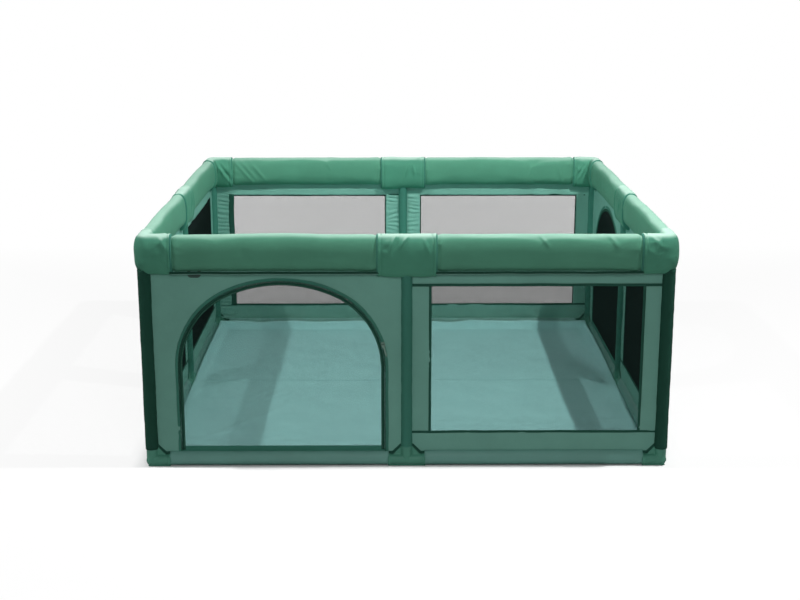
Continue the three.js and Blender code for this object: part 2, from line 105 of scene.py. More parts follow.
# Taken from the frame
POST_LOW, POST_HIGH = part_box("front_right_post")
HALF = (POST_LOW.x + POST_HIGH.x) / 2  # from the middle of the pen to a post's axis
PAD_LOW, PAD_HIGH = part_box("front_rail_pad_right")
PAD_DEPTH = PAD_HIGH.y - PAD_LOW.y
PAD_HEIGHT = PAD_HIGH.z - PAD_LOW.z
PAD_MIDDLE = (PAD_LOW.z + PAD_HIGH.z) / 2
TEE_LOW, TEE_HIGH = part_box("front_base_tee")
ARM_REACH = (TEE_HIGH.x - TEE_LOW.x) / 2
SOCKET_RADIUS = (TEE_HIGH.y - TEE_LOW.y) / 2
RISER_TOP = TEE_HIGH.z
LEAF_LOW, LEAF_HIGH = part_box("front_door_leaf")
DOOR_CENTRE = -(LEAF_LOW.x + LEAF_HIGH.x) / 2  # from the middle post
MAT_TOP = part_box("floor_mat")[1].z
LOOP_LOW, LOOP_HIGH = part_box("strap_loop")


def length(name, text, default):
    return bpy.props.FloatProperty(name=name, description=text, default=default, unit="LENGTH", precision=4)


def linear(level):
    share = level / 255
    return share / 12.92 if share <= 0.04045 else ((share + 0.055) / 1.055) ** 2.4


def tone(name, text, *levels):
    """A colour setting, from its red, green and blue screen levels of 0 to 255."""
    default = tuple(linear(level) for level in levels)
    return bpy.props.FloatVectorProperty(
        name=name, description=text, default=default, subtype="COLOR", size=3, min=0, max=1
    )


class PenSizes(bpy.types.PropertyGroup):
    cloth: length("Cloth thickness", "Thickness of the wall cloth", 0.0012)
    hem_top: length("Hem top", "Height of the seam over the base tubes", 0.043)
    middle_cover: length("Middle cover length", "Length of the cover over the middle of a rail", 0.163)
    corner_cover: length("Corner cover reach", "From a corner post's axis to the end of its cover", 0.078)
    cover_grow: length("Cover thickness", "How far a cover stands proud of the cushion", 0.0022)
    cover_drop: length("Middle cover drop", "How much lower the middle cover hangs than the cushion", 0.009)
    piping: length("Piping radius", "Radius of the piping under the rail", 0.0014)
    side_strip: length("Window side strip", "Cloth beside a window, from the post's sleeve", 0.050)
    top_strip: length("Window top strip", "Cloth over a window", 0.038)
    bottom_strip: length("Window bottom strip", "Cloth under a window", 0.057)
    sleeve: length("Sleeve radius", "Radius of a middle post's sleeve", 0.0158)
    corner_sleeve: length("Corner sleeve radius", "Radius of a corner post's sleeve", 0.0185)
    binding: length("Binding width", "Width of the tape round a window", 0.008)
    haunch_offset: length("Haunch offset", "From the door's middle to the centre of a haunch", 0.053)
    crown_excess: length("Crown excess", "How much larger the crown's radius is than half the doorway", 0.078)
    leaf_gap: length("Leaf gap", "Half of the zip's width between the wall and the leaf", 0.0005)
    band: length("Door band width", "Width of the tape on each side of the zip", 0.0105)
    net_rib: length("Net rib", "Distance between the ribs of the net", 0.0018)
    tooth: length("Zip pitch", "Distance between the teeth of the zip", 0.0022)
    stitch: length("Stitch pitch", "Distance between stitches", 0.0042)


class PenColours(bpy.types.PropertyGroup):
    cushion: tone("Cushions", "Cover of the rail cushions", 88, 151, 125)
    cover: tone("Rail covers", "Covers over the corners and middles of the rail", 80, 146, 121)
    wall: tone("Walls", "Cloth of the walls", 120, 177, 161)
    sleeve: tone("Sleeves", "Cloth of the middle posts' sleeves and the door bands", 63, 127, 110)
    # The corner cloth's dark colour is painted shade on the front corners' sleeves and on the seam under the
    # rail.
    corner: tone("Corner sleeves", "Cloth of the corner posts' sleeves", 36, 78, 64)
    binding: tone("Bindings", "Tape round the windows and dark trim", 42, 88, 74)
    hem: tone("Hems", "Cloth round the base tubes", 90, 148, 136)
    piping: tone("Piping", "Piping under the rail", 132, 180, 166)
    net: tone("Net", "Yarn of the nets", 16, 30, 27)
    mat: tone("Mat", "Upper side of the floor mat", 150, 211, 208)
    plastic: tone("Plastic", "Moulded joints", 71, 136, 115)
    steel: tone("Steel", "Powder coat of the tubes", 176, 184, 182)
    metal: tone("Zip metal", "Slider and pull", 84, 108, 98)
    webbing: tone("Webbing", "Strap loop", 28, 66, 56)
    thread: tone("Thread", "Sewing thread", 118, 168, 150)


class Half:
    """One half of a side, beside its middle post."""

    def __init__(self, side, index):
        self.wall, _, halves, door_end = SIDES[side]
        self.side = side
        self.index = index
        self.end = halves[index]
        self.name = f"{self.wall}_{self.end}"
        self.sign = (-1, 1)[index]
        self.has_door = self.sign == door_end

    def loft(self, part, rings, look, slot="wall_cloth"):
        return loft(f"{self.name}_{part}", place(self.side, rings), look)


def halves_of(side):
    return [Half(side, 0), Half(side, 1)]


def set_up(thing, **settings):
    """Gives a thing its settings, and hands it back."""
    for key, value in settings.items():
        setattr(thing, key, value)
    return thing


# Materials


class Nodes:
    """The nodes of a material or the world, added one at a time."""

    def __init__(self, owner):
        owner.use_nodes = True
        self.tree = owner.node_tree

    def feed(self, value, socket):
        if isinstance(value, bpy.types.NodeSocket):
            self.tree.links.new(value, socket)
        else:
            socket.default_value = value

    def node(self, kind, values=None, **settings):
        node = set_up(self.tree.nodes.new("ShaderNode" + kind), **settings)
        for key, value in (values or {}).items():
            self.feed(value, node.inputs[key])
        return node

    def sum(self, operation, first, second=0.0, third=0.0, clamp=False):
        values = {0: first, 1: second, 2: third}
        return self.node("Math", values, operation=operation, use_clamp=clamp).outputs[0]

    def scaled(self, value, times, plus=0.0, clamp=False):
        return self.sum("MULTIPLY_ADD", value, times, plus, clamp)

    def mix(self, share, first, second, kind="RGBA"):
        return self.node("Mix", {"Factor": share, "A": first, "B": second}, data_type=kind).outputs["Result"]

    def parts(self, vector):
        return self.node("SeparateXYZ", {0: vector}).outputs

    def seen_directly(self):
        """1 for rays from the camera, by reflection or through glass, and 0 for the light that falls."""
        path = self.node("LightPath").outputs
        mirrored = self.sum("MAXIMUM", path["Is Glossy Ray"], path["Is Transmission Ray"])
        return self.sum("MAXIMUM", path["Is Camera Ray"], mirrored)


class Recipe(Nodes):
    """A finish of the pen's. Its grain lies in the solid piece and its weave on the piece's map."""

    def __init__(self, name):
        super().__init__(bpy.data.materials.new(name))
        self.place = self.node("TexCoord").outputs["Object"]

    def noise(self, scale, detail=3.0, roughness=0.5):
        values = {"Vector": self.place, "Scale": scale, "Detail": detail, "Roughness": roughness}
        return self.node("TexNoise", values).outputs["Fac"]

    def map_parts(self):
        return self.parts(self.node("UVMap").outputs[0])

    def weave(self, pitch):
        """A plain weave over the map, from -1 to 1."""
        turns = (self.scaled(part, math.tau / pitch) for part in self.map_parts()[:2])
        across, along = (self.sum("SINE", turn) for turn in turns)
        return self.sum("MULTIPLY", across, along)

    def dye(self, share, colour, low, high):
        """The colour, from low times to high times as bright as share goes from 0 to 1."""
        ends = (tuple(min(1.0, part * times) for part in colour) + (1.0,) for times in (low, high))
        return self.mix(share, *ends)

    def finish(self, colour, bump, depth, values):
        shader = self.tree.nodes["Principled BSDF"]
        normal = self.node("Bump", {"Strength": 1.0, "Distance": depth, "Height": bump})
        values = {"Base Color": colour, "Normal": normal.outputs[0], **values}
        for key, value in values.items():
            self.feed(value, shader.inputs[key])


def cloth_material(
    name, colour, pitch=0.0012, roughness=0.7, gloss=0.15, depth=0.00035, coat=0.0, sheen=0.0, painted_top_light=0.0
):
    """Woven cloth with a slubby yarn, a little uneven in its dye. Its last setting paints its upward faces
    paler, a painted highlight for the light that falls on them from above."""
    recipe = Recipe(name)
    weave = recipe.weave(pitch)
    slub = recipe.noise(900.0, 2.0)
    cloud = recipe.noise(9.0, 4.0, 0.6)
    yarn = recipe.scaled(weave, 0.28, slub)
    share = recipe.scaled(cloud, 0.9, recipe.scaled(yarn, 0.35, -0.15), clamp=True)
    dyed = recipe.dye(share, colour, 0.84, 1.14)
    # Painted highlight: faces that look up are painted towards a pale colour, patchily, where the light from
    # above falls.
    if painted_top_light:
        facing = recipe.parts(recipe.node("NewGeometry").outputs["Normal"])
        values = {"Value": facing[2], "From Min": 0.42, "From Max": 0.92, "To Max": painted_top_light}
        upper = recipe.node("MapRange", values, interpolation_type="SMOOTHSTEP").outputs[0]
        painted_top_share = recipe.sum("MULTIPLY", upper, recipe.scaled(cloud, 0.5, 0.75), clamp=True)
        dyed = recipe.mix(painted_top_share, dyed, PAINTED_TOP_COLOUR)
    height = recipe.scaled(weave, 0.5, recipe.scaled(slub, 0.6))
    values = {"Roughness": roughness, "Specular IOR Level": gloss}
    values |= {"Coat Weight": coat, "Coat Roughness": 0.42}
    values |= {"Sheen Weight": sheen, "Sheen Roughness": 0.45, "Sheen Tint": (0.86, 1.0, 0.94, 1.0)}
    recipe.finish(dyed, height, depth, values)


def net_material(name, colour, pitch):
    """A knitted net: yarn round six-sided holes, in columns one pitch apart."""
    recipe = Recipe(name)
    u, v = recipe.map_parts()[:2]
    total = 0.0
    for heading in (0, 60, 120):
        angle = math.radians(heading)
        across = recipe.scaled(u, math.tau / pitch * math.cos(angle))
        phase = recipe.scaled(v, math.tau / pitch * math.sin(angle), across)
        total = recipe.sum("ADD", recipe.sum("COSINE", phase), total)
    slub = recipe.noise(700.0, 2.0)
    yarn = recipe.scaled(total, -3.0, -0.7, clamp=True)
    values = {"Alpha": yarn, "Roughness": 0.8, "Specular IOR Level": 0.08}
    recipe.finish(recipe.dye(slub, colour, 0.7, 1.3), slub, 0.0001, values)


def webbing_material(name, colour, pitch):
    """Ribbed strap webbing."""
    recipe = Recipe(name)
    rib = recipe.sum("SINE", recipe.scaled(recipe.map_parts()[0], math.tau / pitch))
    share = recipe.scaled(rib, 0.3, recipe.noise(800.0, 2.0), clamp=True)
    recipe.finish(recipe.dye(share, colour, 0.7, 1.3), rib, 0.0003, {"Roughness": 0.65, "Sheen Weight": 0.2})


def mat_material(name, colour, pitch):
    """The mat's smooth woven face, with its quilted filling showing faintly."""
    recipe = Recipe(name)
    weave = recipe.weave(pitch)
    cloud = recipe.noise(4.0, 5.0, 0.6)
    share = recipe.scaled(recipe.noise(500.0, 2.0), 0.5, recipe.scaled(weave, 0.2, cloud), clamp=True)
    height = recipe.scaled(recipe.noise(60.0), 4.0, recipe.scaled(weave, 0.4))
    dyed = recipe.dye(share, colour, 0.88, 1.08)
    recipe.finish(dyed, height, 0.0004, {"Roughness": 0.7, "Sheen Weight": 0.1})


def grained_material(name, colour, grain, cloud, spread, depth, values):
    """A hard finish with a fine grain and an uneven colour. grain and cloud are settings of noise, and a
    finish without a cloud takes its colour from its grain."""
    recipe = Recipe(name)
    fine = recipe.noise(*grain)
    share = recipe.noise(*cloud) if cloud else fine
    recipe.finish(recipe.dye(share, colour, *spread), fine, depth, values)


def finishes():
    """The pen's materials by name, made once."""
    if "Pen wall cloth" not in bpy.data.materials:
        colours = bpy.context.scene.pen_colours
        rail = {"pitch": 0.001, "roughness": 0.5, "gloss": 0.01, "depth": 0.0002, "coat": 0.06, "sheen": 0.03}
        # The last setting paints the rail cloths' upward faces paler, a painted highlight.
        cloth_material("Pen cushion cloth", colours.cushion, **rail, painted_top_light=0.46)
        cloth_material("Pen cover cloth", colours.cover, **rail, painted_top_light=0.85)
        cloth_material("Pen wall cloth", colours.wall)
        cloth_material("Pen sleeve cloth", colours.sleeve)
        cloth_material("Pen corner cloth", colours.corner, gloss=0.05)
        cloth_material("Pen binding tape", colours.binding, pitch=0.0009, roughness=0.8, gloss=0.1)
        cloth_material("Pen hem cloth", colours.hem, roughness=0.4, gloss=0.4, depth=0.0003, coat=0.3)
        cloth_material("Pen piping cloth", colours.piping, pitch=0.0009)
        cloth_material("Pen thread", colours.thread, pitch=0.0006)
        net_material("Pen net", colours.net, bpy.context.scene.pen_sizes.net_rib)
        webbing_material("Pen webbing", colours.webbing, pitch=0.0016)
        mat_material("Pen mat cloth", colours.mat, pitch=0.0015)
        eroded = {"Roughness": 0.5, "Specular IOR Level": 0.3}
        powder = {"Roughness": 0.35, "Metallic": 0.15, "Coat Weight": 0.25, "Coat Roughness": 0.25}
        plated = {"Roughness": 0.3, "Metallic": 0.85}
        for name, colour, *look in (
            ("joint plastic", colours.plastic, (1800.0, 3.0, 0.7), (25.0,), (0.85, 1.12), 0.00012, eroded),
            ("tube steel", colours.steel, (420.0, 2.0), (30.0,), (0.88, 1.08), 0.0001, powder),
            ("zip metal", colours.metal, (600.0, 4.0, 0.7), None, (0.7, 1.3), 0.00004, plated),
        ):
            grained_material(f"Pen {name}", colour, *look)
    return {m.name[4:]: m for m in bpy.data.materials if m.name.startswith("Pen ")}


# Meshes


def at(*parts):
    """Points of their coordinates, each a number or an array."""
    return np.stack(np.broadcast_arrays(*parts), axis=-1)


def place(side, points):
    """Points of a side's own frame, in the pen's."""
    cosine, sine = TURNS[side]
    x, y, z = points[..., 0], points[..., 1] - HALF, points[..., 2]
    return at(x * cosine - y * sine, x * sine + y * cosine, z)


def circle(count):
    """The angles of count points round a circle."""
    return np.linspace(0, math.tau, count, endpoint=False)


def crossed(first, second):
    """The first's numbers and the second's at each point of their grid."""
    return np.meshgrid(first, second, indexing="ij")


def ringed(line):
    """A line with its first point again at its end."""
    return np.vstack((line, line[:1]))


def arc_length(line):
    steps = np.linalg.norm(np.diff(line, axis=0), axis=-1)
    return np.concatenate(([0.0], np.cumsum(steps)))


def even(points, count, closed=False):
    """A line of points as count points at even distances along it."""
    line = np.asarray(points, float)
    if closed:
        line = ringed(line)
    along = arc_length(line)
    wanted = np.linspace(0, along[-1], count, endpoint=not closed)
    return at(*(np.interp(wanted, along, part) for part in line.T))


def spaced(low, high, count):
    """count equal steps from low to high, each a number or a row."""
    share = np.linspace(0, 1, count + 1)
    return low + (high - low) * (share[:, None] if np.ndim(low) else share)


def bell(off, width):
    return np.exp(-((off / width) ** 2))


def squared(value, power):
    """A sine or cosine raised to a power, with its sign kept, which squares up an oval."""
    return np.sign(value) * np.abs(value) ** power


def ripple(along, across, seed, shortest, longest):
    """A smooth uneven surface over two lengths, from about -1 to 1, of waves between two lengths."""
    dice = np.random.default_rng(seed)
    waves = 8
    total = 0.0
    for _ in range(waves):
        heading = dice.uniform(0, math.pi)
        turns = math.tau / dice.uniform(shortest, longest)
        phase = dice.uniform(0, math.tau)
        total = total + np.sin((along * math.cos(heading) + across * math.sin(heading)) * turns + phase)
    return total / math.sqrt(2 * waves)


def creases(along, across, marks):
    """Ridges, each from a place (along, across) on a heading, with its length, width and height."""
    total = 0.0
    for start_along, start_across, heading, reach, width, height in marks:
        run = (along - start_along) * math.cos(heading) + (across - start_across) * math.sin(heading)
        off = (across - start_across) * math.cos(heading) - (along - start_along) * math.sin(heading)
        fade = np.clip(1 - np.abs(run / reach * 2 - 1), 0, 1) ** 0.7
        total = total + height * fade * bell(off, width)
    return total


def new_object(name, data):
    piece = bpy.data.objects.new(name, data)
    bpy.context.scene.collection.objects.link(piece)
    return piece


def coordinates(mesh):
    points = np.zeros(len(mesh.vertices) * 3, np.float32)
    mesh.vertices.foreach_get("co", points)
    return points.reshape(-1, 3)


def coat(mesh, look):
    mesh.materials.clear()
    mesh.materials.append(finishes()[look])


def mounted(name, mesh, look, body):
    """A piece of a finished mesh, in its material and on its body."""
    coat(mesh, look)
    piece = new_object(name, mesh)
    if body:
        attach(piece, body)
    return piece


def face_outwards(mesh):
    """Turns the faces of closed skins to look out."""
    shell = bmesh.new()
    shell.from_mesh(mesh)
    bmesh.ops.recalc_face_normals(shell, faces=shell.faces)
    shell.to_mesh(mesh)
    shell.free()


def object_of(name, points, faces, corners, look, body, closed=True):
    """A piece of points, faces and each face corner's place on the map."""
    used, order = np.unique(np.concatenate(faces), return_inverse=True)
    starts = np.cumsum([0] + [len(face) for face in faces])
    loops = [order[a:b].tolist() for a, b in zip(starts[:-1], starts[1:])]
    mesh = bpy.data.meshes.new(name)
    mesh.from_pydata(points.reshape(-1, 3)[used].tolist(), [], loops)
    layer = mesh.uv_layers.new(name="UVMap")
    layer.data.foreach_set("uv", np.concatenate(corners).ravel())
    if closed:
        face_outwards(mesh)
    mesh.shade_smooth()
    return mounted(name, mesh, look, body)


def grid(rows, columns, chart, ring=False, keep=None):
    """The quads of a grid of points, whose columns may close to a ring, and their places on a chart of
    [row, column] map points."""
    steps = np.arange(rows - 1), np.arange(columns if ring else columns - 1)
    row, column = (part.ravel() for part in crossed(*steps))
    if keep is not None:
        row, column = row[keep.ravel()], column[keep.ravel()]
    corner_row = np.stack((row, row, row + 1, row + 1), axis=1)
    corner_column = np.stack((column, column + 1, column + 1, column), axis=1)
    faces = corner_row * columns + corner_column % columns
    return list(faces), list(chart[corner_row, corner_column])


def skin(rings):
    """The faces of a closed skin over rings of points, with its ends filled, and their places on the map."""
    rows, columns = rings.shape[:2]
    around = arc_length(ringed(rings[rows // 2]))
    along = arc_length(rings.mean(axis=1))
    faces, corners = grid(rows, columns, at(*crossed(along, around)), ring=True)
    for row, ends in ((0, np.arange(columns)[::-1]), (rows - 1, np.arange(columns))):
        faces.append(row * columns + ends)
        corners.append(at(around[ends], 0.0))
    return faces, corners


def loft(name, rings, look, body="pen"):
    """A closed skin over rings of points, or several skins over a list of them."""
    several = rings if isinstance(rings, list) else [rings]
    points, faces, corners = [], [], []
    for some in several:
        first = sum(map(len, points))
        more_faces, more_corners = skin(some)
        faces += [face + first for face in more_faces]
        corners += more_corners
        points.append(some.reshape(-1, 3))
    return object_of(name, np.vstack(points), faces, corners, look, body)


def modify(piece, kind, **settings):
    """Adds a modifier of a kind."""
    return set_up(piece.modifiers.new(kind.title(), kind), **settings)


def pad(piece):
    modify(piece, "SUBSURF", levels=1, render_levels=1)


def cloth_sheet(name, side, x, height, out, look, thick, body="pen", keep=None):
    """A sheet over a grid of heights along x, standing off the wall's plane by out."""
    chart = at(x, height)
    faces, corners = grid(*x.shape, chart, keep=keep)
    points = place(side, at(x, out, height))
    piece = object_of(name, points, faces, corners, look, body, closed=False)
    piece["flat_area"] = float(sum(quad_area(chart.reshape(-1, 2)[face]) for face in faces))
    modify(piece, "SOLIDIFY", thickness=thick, offset=0)
    return piece


def quad_area(corners):
    across, up = corners[2] - corners[0], corners[3] - corners[1]
    return abs(across[0] * up[1] - across[1] * up[0]) / 2


def declare(sheet):
    """Reads a sheet's map points, which are not kept, and takes off its flat area."""
    map_points = np.zeros(len(sheet.data.loops) * 2)
    sheet.data.uv_layers[0].data.foreach_get("uv", map_points)
    del sheet["flat_area"]


def across_path(path, closed=False):
    """The unit vectors to the right of travel along a path in a plane. They look out of a closed path
    that runs anticlockwise."""
    if closed:
        travel = np.roll(path, -1, axis=0) - np.roll(path, 1, axis=0)
    else:
        travel = np.gradient(path, axis=0)
    travel = travel / np.linalg.norm(travel, axis=1)[:, None]
    return at(travel[:, 1], -travel[:, 0])


def tape_rings(path, width, thick, out=0.0):
    """The rings of a crowned tape along a path of (x, z) in a side's wall."""
    section = np.array(
        [(-0.5, 0), (-0.42, -0.42), (-0.2, -0.5), (0.2, -0.5), (0.42, -0.42)]
        + [(0.5, 0), (0.42, 0.42), (0.2, 0.5), (-0.2, 0.5), (-0.42, 0.42)]
    ) * (width, thick)
    right = across_path(path)
    flat = path[:, None] + right[:, None] * section[:, :1]
    return at(flat[..., 0], out + section[:, 1], flat[..., 1])


def tape(name, side, path, width, thick, look, out=0.0, body="pen"):
    """A crowned tape along a path of (x, z) in a side's wall."""
    return loft(name, place(side, tape_rings(path, width, thick, out)), look, body)


def beads(name, side, path, pitch, size, out, look, body, start=0.5):
    """Small blunt beads in a row along a path of (x, z), such as teeth or stitches. size is each bead's
    length along the row, width across it and thickness."""
    total = arc_length(path)[-1]
    count = int(total / pitch)
    share = (np.arange(count) + start) * pitch / total
    fine = even(path, 6 * count)
    index = np.minimum((share * len(fine)).astype(int), len(fine) - 1)
    centre, across = fine[index][:, None], across_path(fine)[index][:, None]
    travel = at(-across[..., 1], across[..., 0])
    long, wide, thick = size
    stations = np.array(((-0.5, 0.45), (-0.25, 1.0), (0.25, 1.0), (0.5, 0.45)))
    square = np.array(((-0.5, -0.5), (0.5, -0.5), (0.5, 0.5), (-0.5, 0.5)))
    run, swell = np.repeat(stations, 4, axis=0).T[..., None]
    off, rise = np.tile(square, (4, 1)).T[..., None]
    flat = centre + travel * run * long + across * off * wide * swell
    points = at(flat[..., 0], (out + rise * thick * swell)[:, 0], flat[..., 1])
    bead = [4 * i + np.array((j, (j + 1) % 4, 4 + (j + 1) % 4, 4 + j)) for i in range(3) for j in range(4)]
    bead += [np.array((3, 2, 1, 0)), np.array((12, 13, 14, 15))]
    faces = [face + 16 * k for k in range(count) for face in bead]
    corners = [np.array(((0, 0), (0.001, 0), (0.001, 0.001), (0, 0.001)))] * len(faces)
    return object_of(name, place(side, points), faces, corners, look, body)


# Rail


# Deep folds in the rail's cloth. Each is a place along the rail and round it from its outer middle, a
# heading, a reach, a width and a height. A cushion's are measured along from the middle post, and a cover's
# from its first end.
CUSHION_FOLDS = {
    "front_right": [(0.362, 0.060, -0.9, 0.055, 0.004, 0.0034), (0.553, 0.062, -0.95, 0.06, 0.005, 0.0034)],
    "back_left": [
        (0.645, 0.085, 2.28, 0.12, 0.0045, 0.0034),
        (0.618, 0.085, 2.26, 0.10, 0.0045, 0.0028),
        (0.585, 0.085, 2.24, 0.11, 0.005, 0.0032),
        (0.30, 0.085, 2.2, 0.05, 0.005, 0.0022),
    ],
    "back_right": [(0.50, 0.085, 1.9, 0.07, 0.006, 0.002), (0.585, 0.09, 1.3, 0.1, 0.006, 0.003)],
}
COVER_FOLDS = {
    "middle": [
        (0.052, 0.066, -1.91, 0.060, 0.0036, 0.0055),
        (0.088, 0.062, -2.2, 0.045, 0.0036, 0.0045),
        (0.066, 0.064, -2.0, 0.050, 0.0040, -0.0025),
        (0.128, 0.050, -1.2, 0.05, 0.0045, 0.0030),
        (0.060, 0.108, 1.3, 0.07, 0.0045, 0.0034),
        (0.045, 0.105, 1.75, 0.06, 0.0045, 0.0030),
    ],
    "back_left": [
        (0.056, 0.104, 2.15, 0.10, 0.0050, 0.0050),
        (0.046, 0.104, 2.20, 0.09, 0.0045, -0.0030),
        (0.038, 0.104, 2.25, 0.08, 0.0050, 0.0042),
        (0.022, 0.106, 2.15, 0.05, 0.0045, 0.0030),
    ],
    "back_right": [(0.100, 0.104, 1.05, 0.08, 0.0050, 0.0034), (0.118, 0.106, 1.0, 0.06, 0.0045, 0.0028)],
    "front_left": [(0.112, 0.060, -0.9, 0.06, 0.0050, 0.0026), (0.030, 0.058, -2.2, 0.06, 0.0050, 0.0026)],
    "front_right": [
        (0.014, 0.060, -0.8, 0.055, 0.0055, 0.0026),
        (0.050, 0.062, -1.8, 0.060, 0.0050, 0.0028),
        (0.034, 0.030, -0.3, 0.040, 0.0055, 0.0020),
        (0.056, 0.012, -2.5, 0.050, 0.0060, 0.0026),
    ],
}


def end_creases(seed, ends, girth, count, splay, reach, width, height):
    """Marks of the small creases that run in from the ends of a cover round a rail of some girth."""
    dice = np.random.default_rng(seed)
    marks = []
    for end, heading in zip(ends, (0.0, math.pi)):
        for _ in range(count):
            start = dice.uniform(0.0, girth)
            angle = heading + dice.uniform(-splay, splay)
            marks.append((end, start, angle, dice.uniform(*reach), dice.uniform(*width), height))
    return marks


def rail_section(count, grow=0.0, drop=0.0):
    """Points round the padded rail, across and up, from its outer middle, and their distances round it."""
    angle = circle(4 * count)
    across = (PAD_DEPTH / 2 + grow) * squared(np.cos(angle), RAIL_SQUARENESS)
    up = (PAD_HEIGHT + grow + drop) / 2 * squared(np.sin(angle), RAIL_SQUARENESS)
    section = even(at(across, PAD_MIDDLE - (grow + drop) / 2 + up), count, closed=True)
    return section, arc_length(ringed(section))[:-1]


def swept_rail(path, section, swell):
    """Rings of the rail's section along a level path of (x, y), swollen by swell[ring, point]."""
    off = section + across_path(section, closed=True) * swell[..., None]
    level = path[:, None] + across_path(path)[:, None] * off[..., :1]
    return at(level[..., 0], level[..., 1], off[..., 1])


def rail_cushion(half):
    """The foam cushion over one half of a side's top rail."""
    sizes = bpy.context.scene.pen_sizes
    near, far = sizes.middle_cover / 2 - COVER_LAP, HALF - sizes.corner_cover + COVER_LAP
    along = np.linspace(near, far, 150)
    section, around = rail_section(CUSHION_COLUMNS, -COVER_ROOM)
    u, v = crossed(along, around)
    seed = 10 * half.side + half.index
    few = {"count": 7, "splay": 0.7, "reach": (0.03, 0.08), "width": (0.005, 0.009), "height": 0.0017}
    marks = end_creases(seed, (near, far), around[-1], **few)
    marks += CUSHION_FOLDS.get(half.name, [])
    valley_in, valley_width = 0.025, 0.0065  # where the covers' edges press in
    far_depth, near_depth = 0.006, 0.0035
    valley = far_depth * bell(u - far + valley_in, valley_width)
    valley += near_depth * bell(u - near - valley_in, valley_width)
    swell = 0.0004 * ripple(u, v, seed, 0.05, 0.3) + creases(u, v, marks) - valley
    rings = swept_rail(at(along * half.sign, 0.0)[:: half.sign], section, swell[:: half.sign])
    cushion = half.loft("rail_cushion", rings, "cushion cloth", "pad_cover")
    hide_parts(f"{half.wall}_rail_pad_{half.end}")
    return cushion


def inflate(cushions):
    """Fills the cushions by a short cloth simulation. Their ends and the seam along their foot are held."""
    scene = bpy.context.scene
    count = CUSHION_COLUMNS
    for cushion in cushions:
        total = len(cushion.data.vertices)
        held = cushion.vertex_groups.new(name="held")
        seam = list(range(3 * count // 4, total, count))
        held.add(seam + list(range(count)) + list(range(total - count, total)), 1.0, "REPLACE")
        settings = modify(cushion, "CLOTH").settings
        set_up(settings, quality=4, mass=0.3, bending_stiffness=0.4, shrink_min=-0.03)
        set_up(settings, use_pressure=True, uniform_pressure_force=3, vertex_group_mass="held")
        settings.effector_weights.gravity = 0
    last_frame, most, passes = 20, 0.002, 8  # most is how far a point may move
    for step in range(1, last_frame + 1):
        scene.frame_set(step)
    graph = bpy.context.evaluated_depsgraph_get()
    for cushion in cushions:
        before = coordinates(cushion.data)
        move = (coordinates(cushion.evaluated_get(graph).data) - before).reshape(-1, count, 3)
        for _ in range(passes):
            move = (np.roll(move, 1, axis=1) + 2 * move + np.roll(move, -1, axis=1)) / 4
            move[1:-1] = (move[:-2] + 2 * move[1:-1] + move[2:]) / 4
        move = move.reshape(-1, 3)
        far = np.linalg.norm(move, axis=1)[:, None]
        move *= np.minimum(1.0, most / np.maximum(far, MICRON))
        cushion.modifiers.clear()
        cushion.data.vertices.foreach_set("co", (before + move).ravel())
        cushion.data.update()
    scene.frame_set(1)


def corner_path(reach, radius):
    """A level path round the left end of a side, from the side before it."""
    bend = np.linspace(0, math.pi / 2, 12)
    turn = at(-HALF + radius - radius * np.cos(bend), radius - radius * np.sin(bend))
    gap = 0.001  # keeps the straight ends clear of the turn
    first = np.array(((-HALF, reach), (-HALF, radius + gap)))
    last = np.array(((-HALF + radius + gap, 0), (-HALF + reach, 0)))
    return even(np.vstack((first, turn, last)), 66)


def rail_cover(name, side, path, drop, seed):
    """A fitted cover over a stretch of the rail, with its ends tucked in and its cloth slightly puckered, and
    the bound edges at its ends, in a darker cloth that is partly a painted shade in the gaps beside the
    cover."""
    sizes = bpy.context.scene.pen_sizes
    section, around = rail_section(56, sizes.cover_grow, drop)
    along = arc_length(path)
    u, v = crossed(along, around)
    few = {"count": 6, "splay": 0.9, "reach": (0.03, 0.07), "width": (0.004, 0.007), "height": 0.0015}
    marks = end_creases(seed, (0.0, along[-1]), around[-1], **few)
    marks += COVER_FOLDS.get(name, COVER_FOLDS["middle"])
    edge = np.minimum(u, along[-1] - u)
    turned, stitched = 0.006, 0.009  # how far in the cloth is turned over, and sewn down
    double, drawn = 0.0008, 0.0014  # how much the turned cloth stands out, and its seam pulls in
    pull = double * (edge < turned) - drawn * bell(edge - stitched, 0.003)
    swell = 0.0006 * ripple(u, v, seed, 0.03, 0.14) + creases(u, v, marks) + pull
    rings = swept_rail(path, section, swell)
    low = np.clip((PAD_MIDDLE - rings[..., 2]) / PAD_HEIGHT * 2, 0, 1) ** 2
    rings[..., 2] -= low * drop * (0.2 + 0.3 * ripple(u, 0 * u, seed + 1, 0.08, 0.3))
    tuck = sizes.cover_grow + 0.003
    tucked = swept_rail(path[[0, -1]], section, swell[[0, -1]] - tuck)
    rings = np.concatenate((tucked[:1], rings, tucked[1:]))
    cover = loft(f"{name}_rail_cover", place(side, rings), "cover cloth")
    edges = []
    past = np.array((-0.003, 0.0, 0.0024, 0.0034))[:, None]  # the binding's rings, beyond the cloth's end
    low_edge = np.array((-0.0006, -0.0006, -0.0006, -0.002))[:, None] + 0 * around
    for end, inner, order in ((0, 1, -1), (-1, -2, 1)):
        beyond = path[end] - path[inner]
        strip = path[end] + beyond / np.linalg.norm(beyond) * past
        edges.append(place(side, swept_rail(strip[::order], section, low_edge[::order])))
    # the bindings are real, and their darker sleeve cloth is partly painted shade in the gap at each end of
    # the cover
    loft(f"{name}_rail_cover_edges", edges, "sleeve cloth")
    pad(cover)


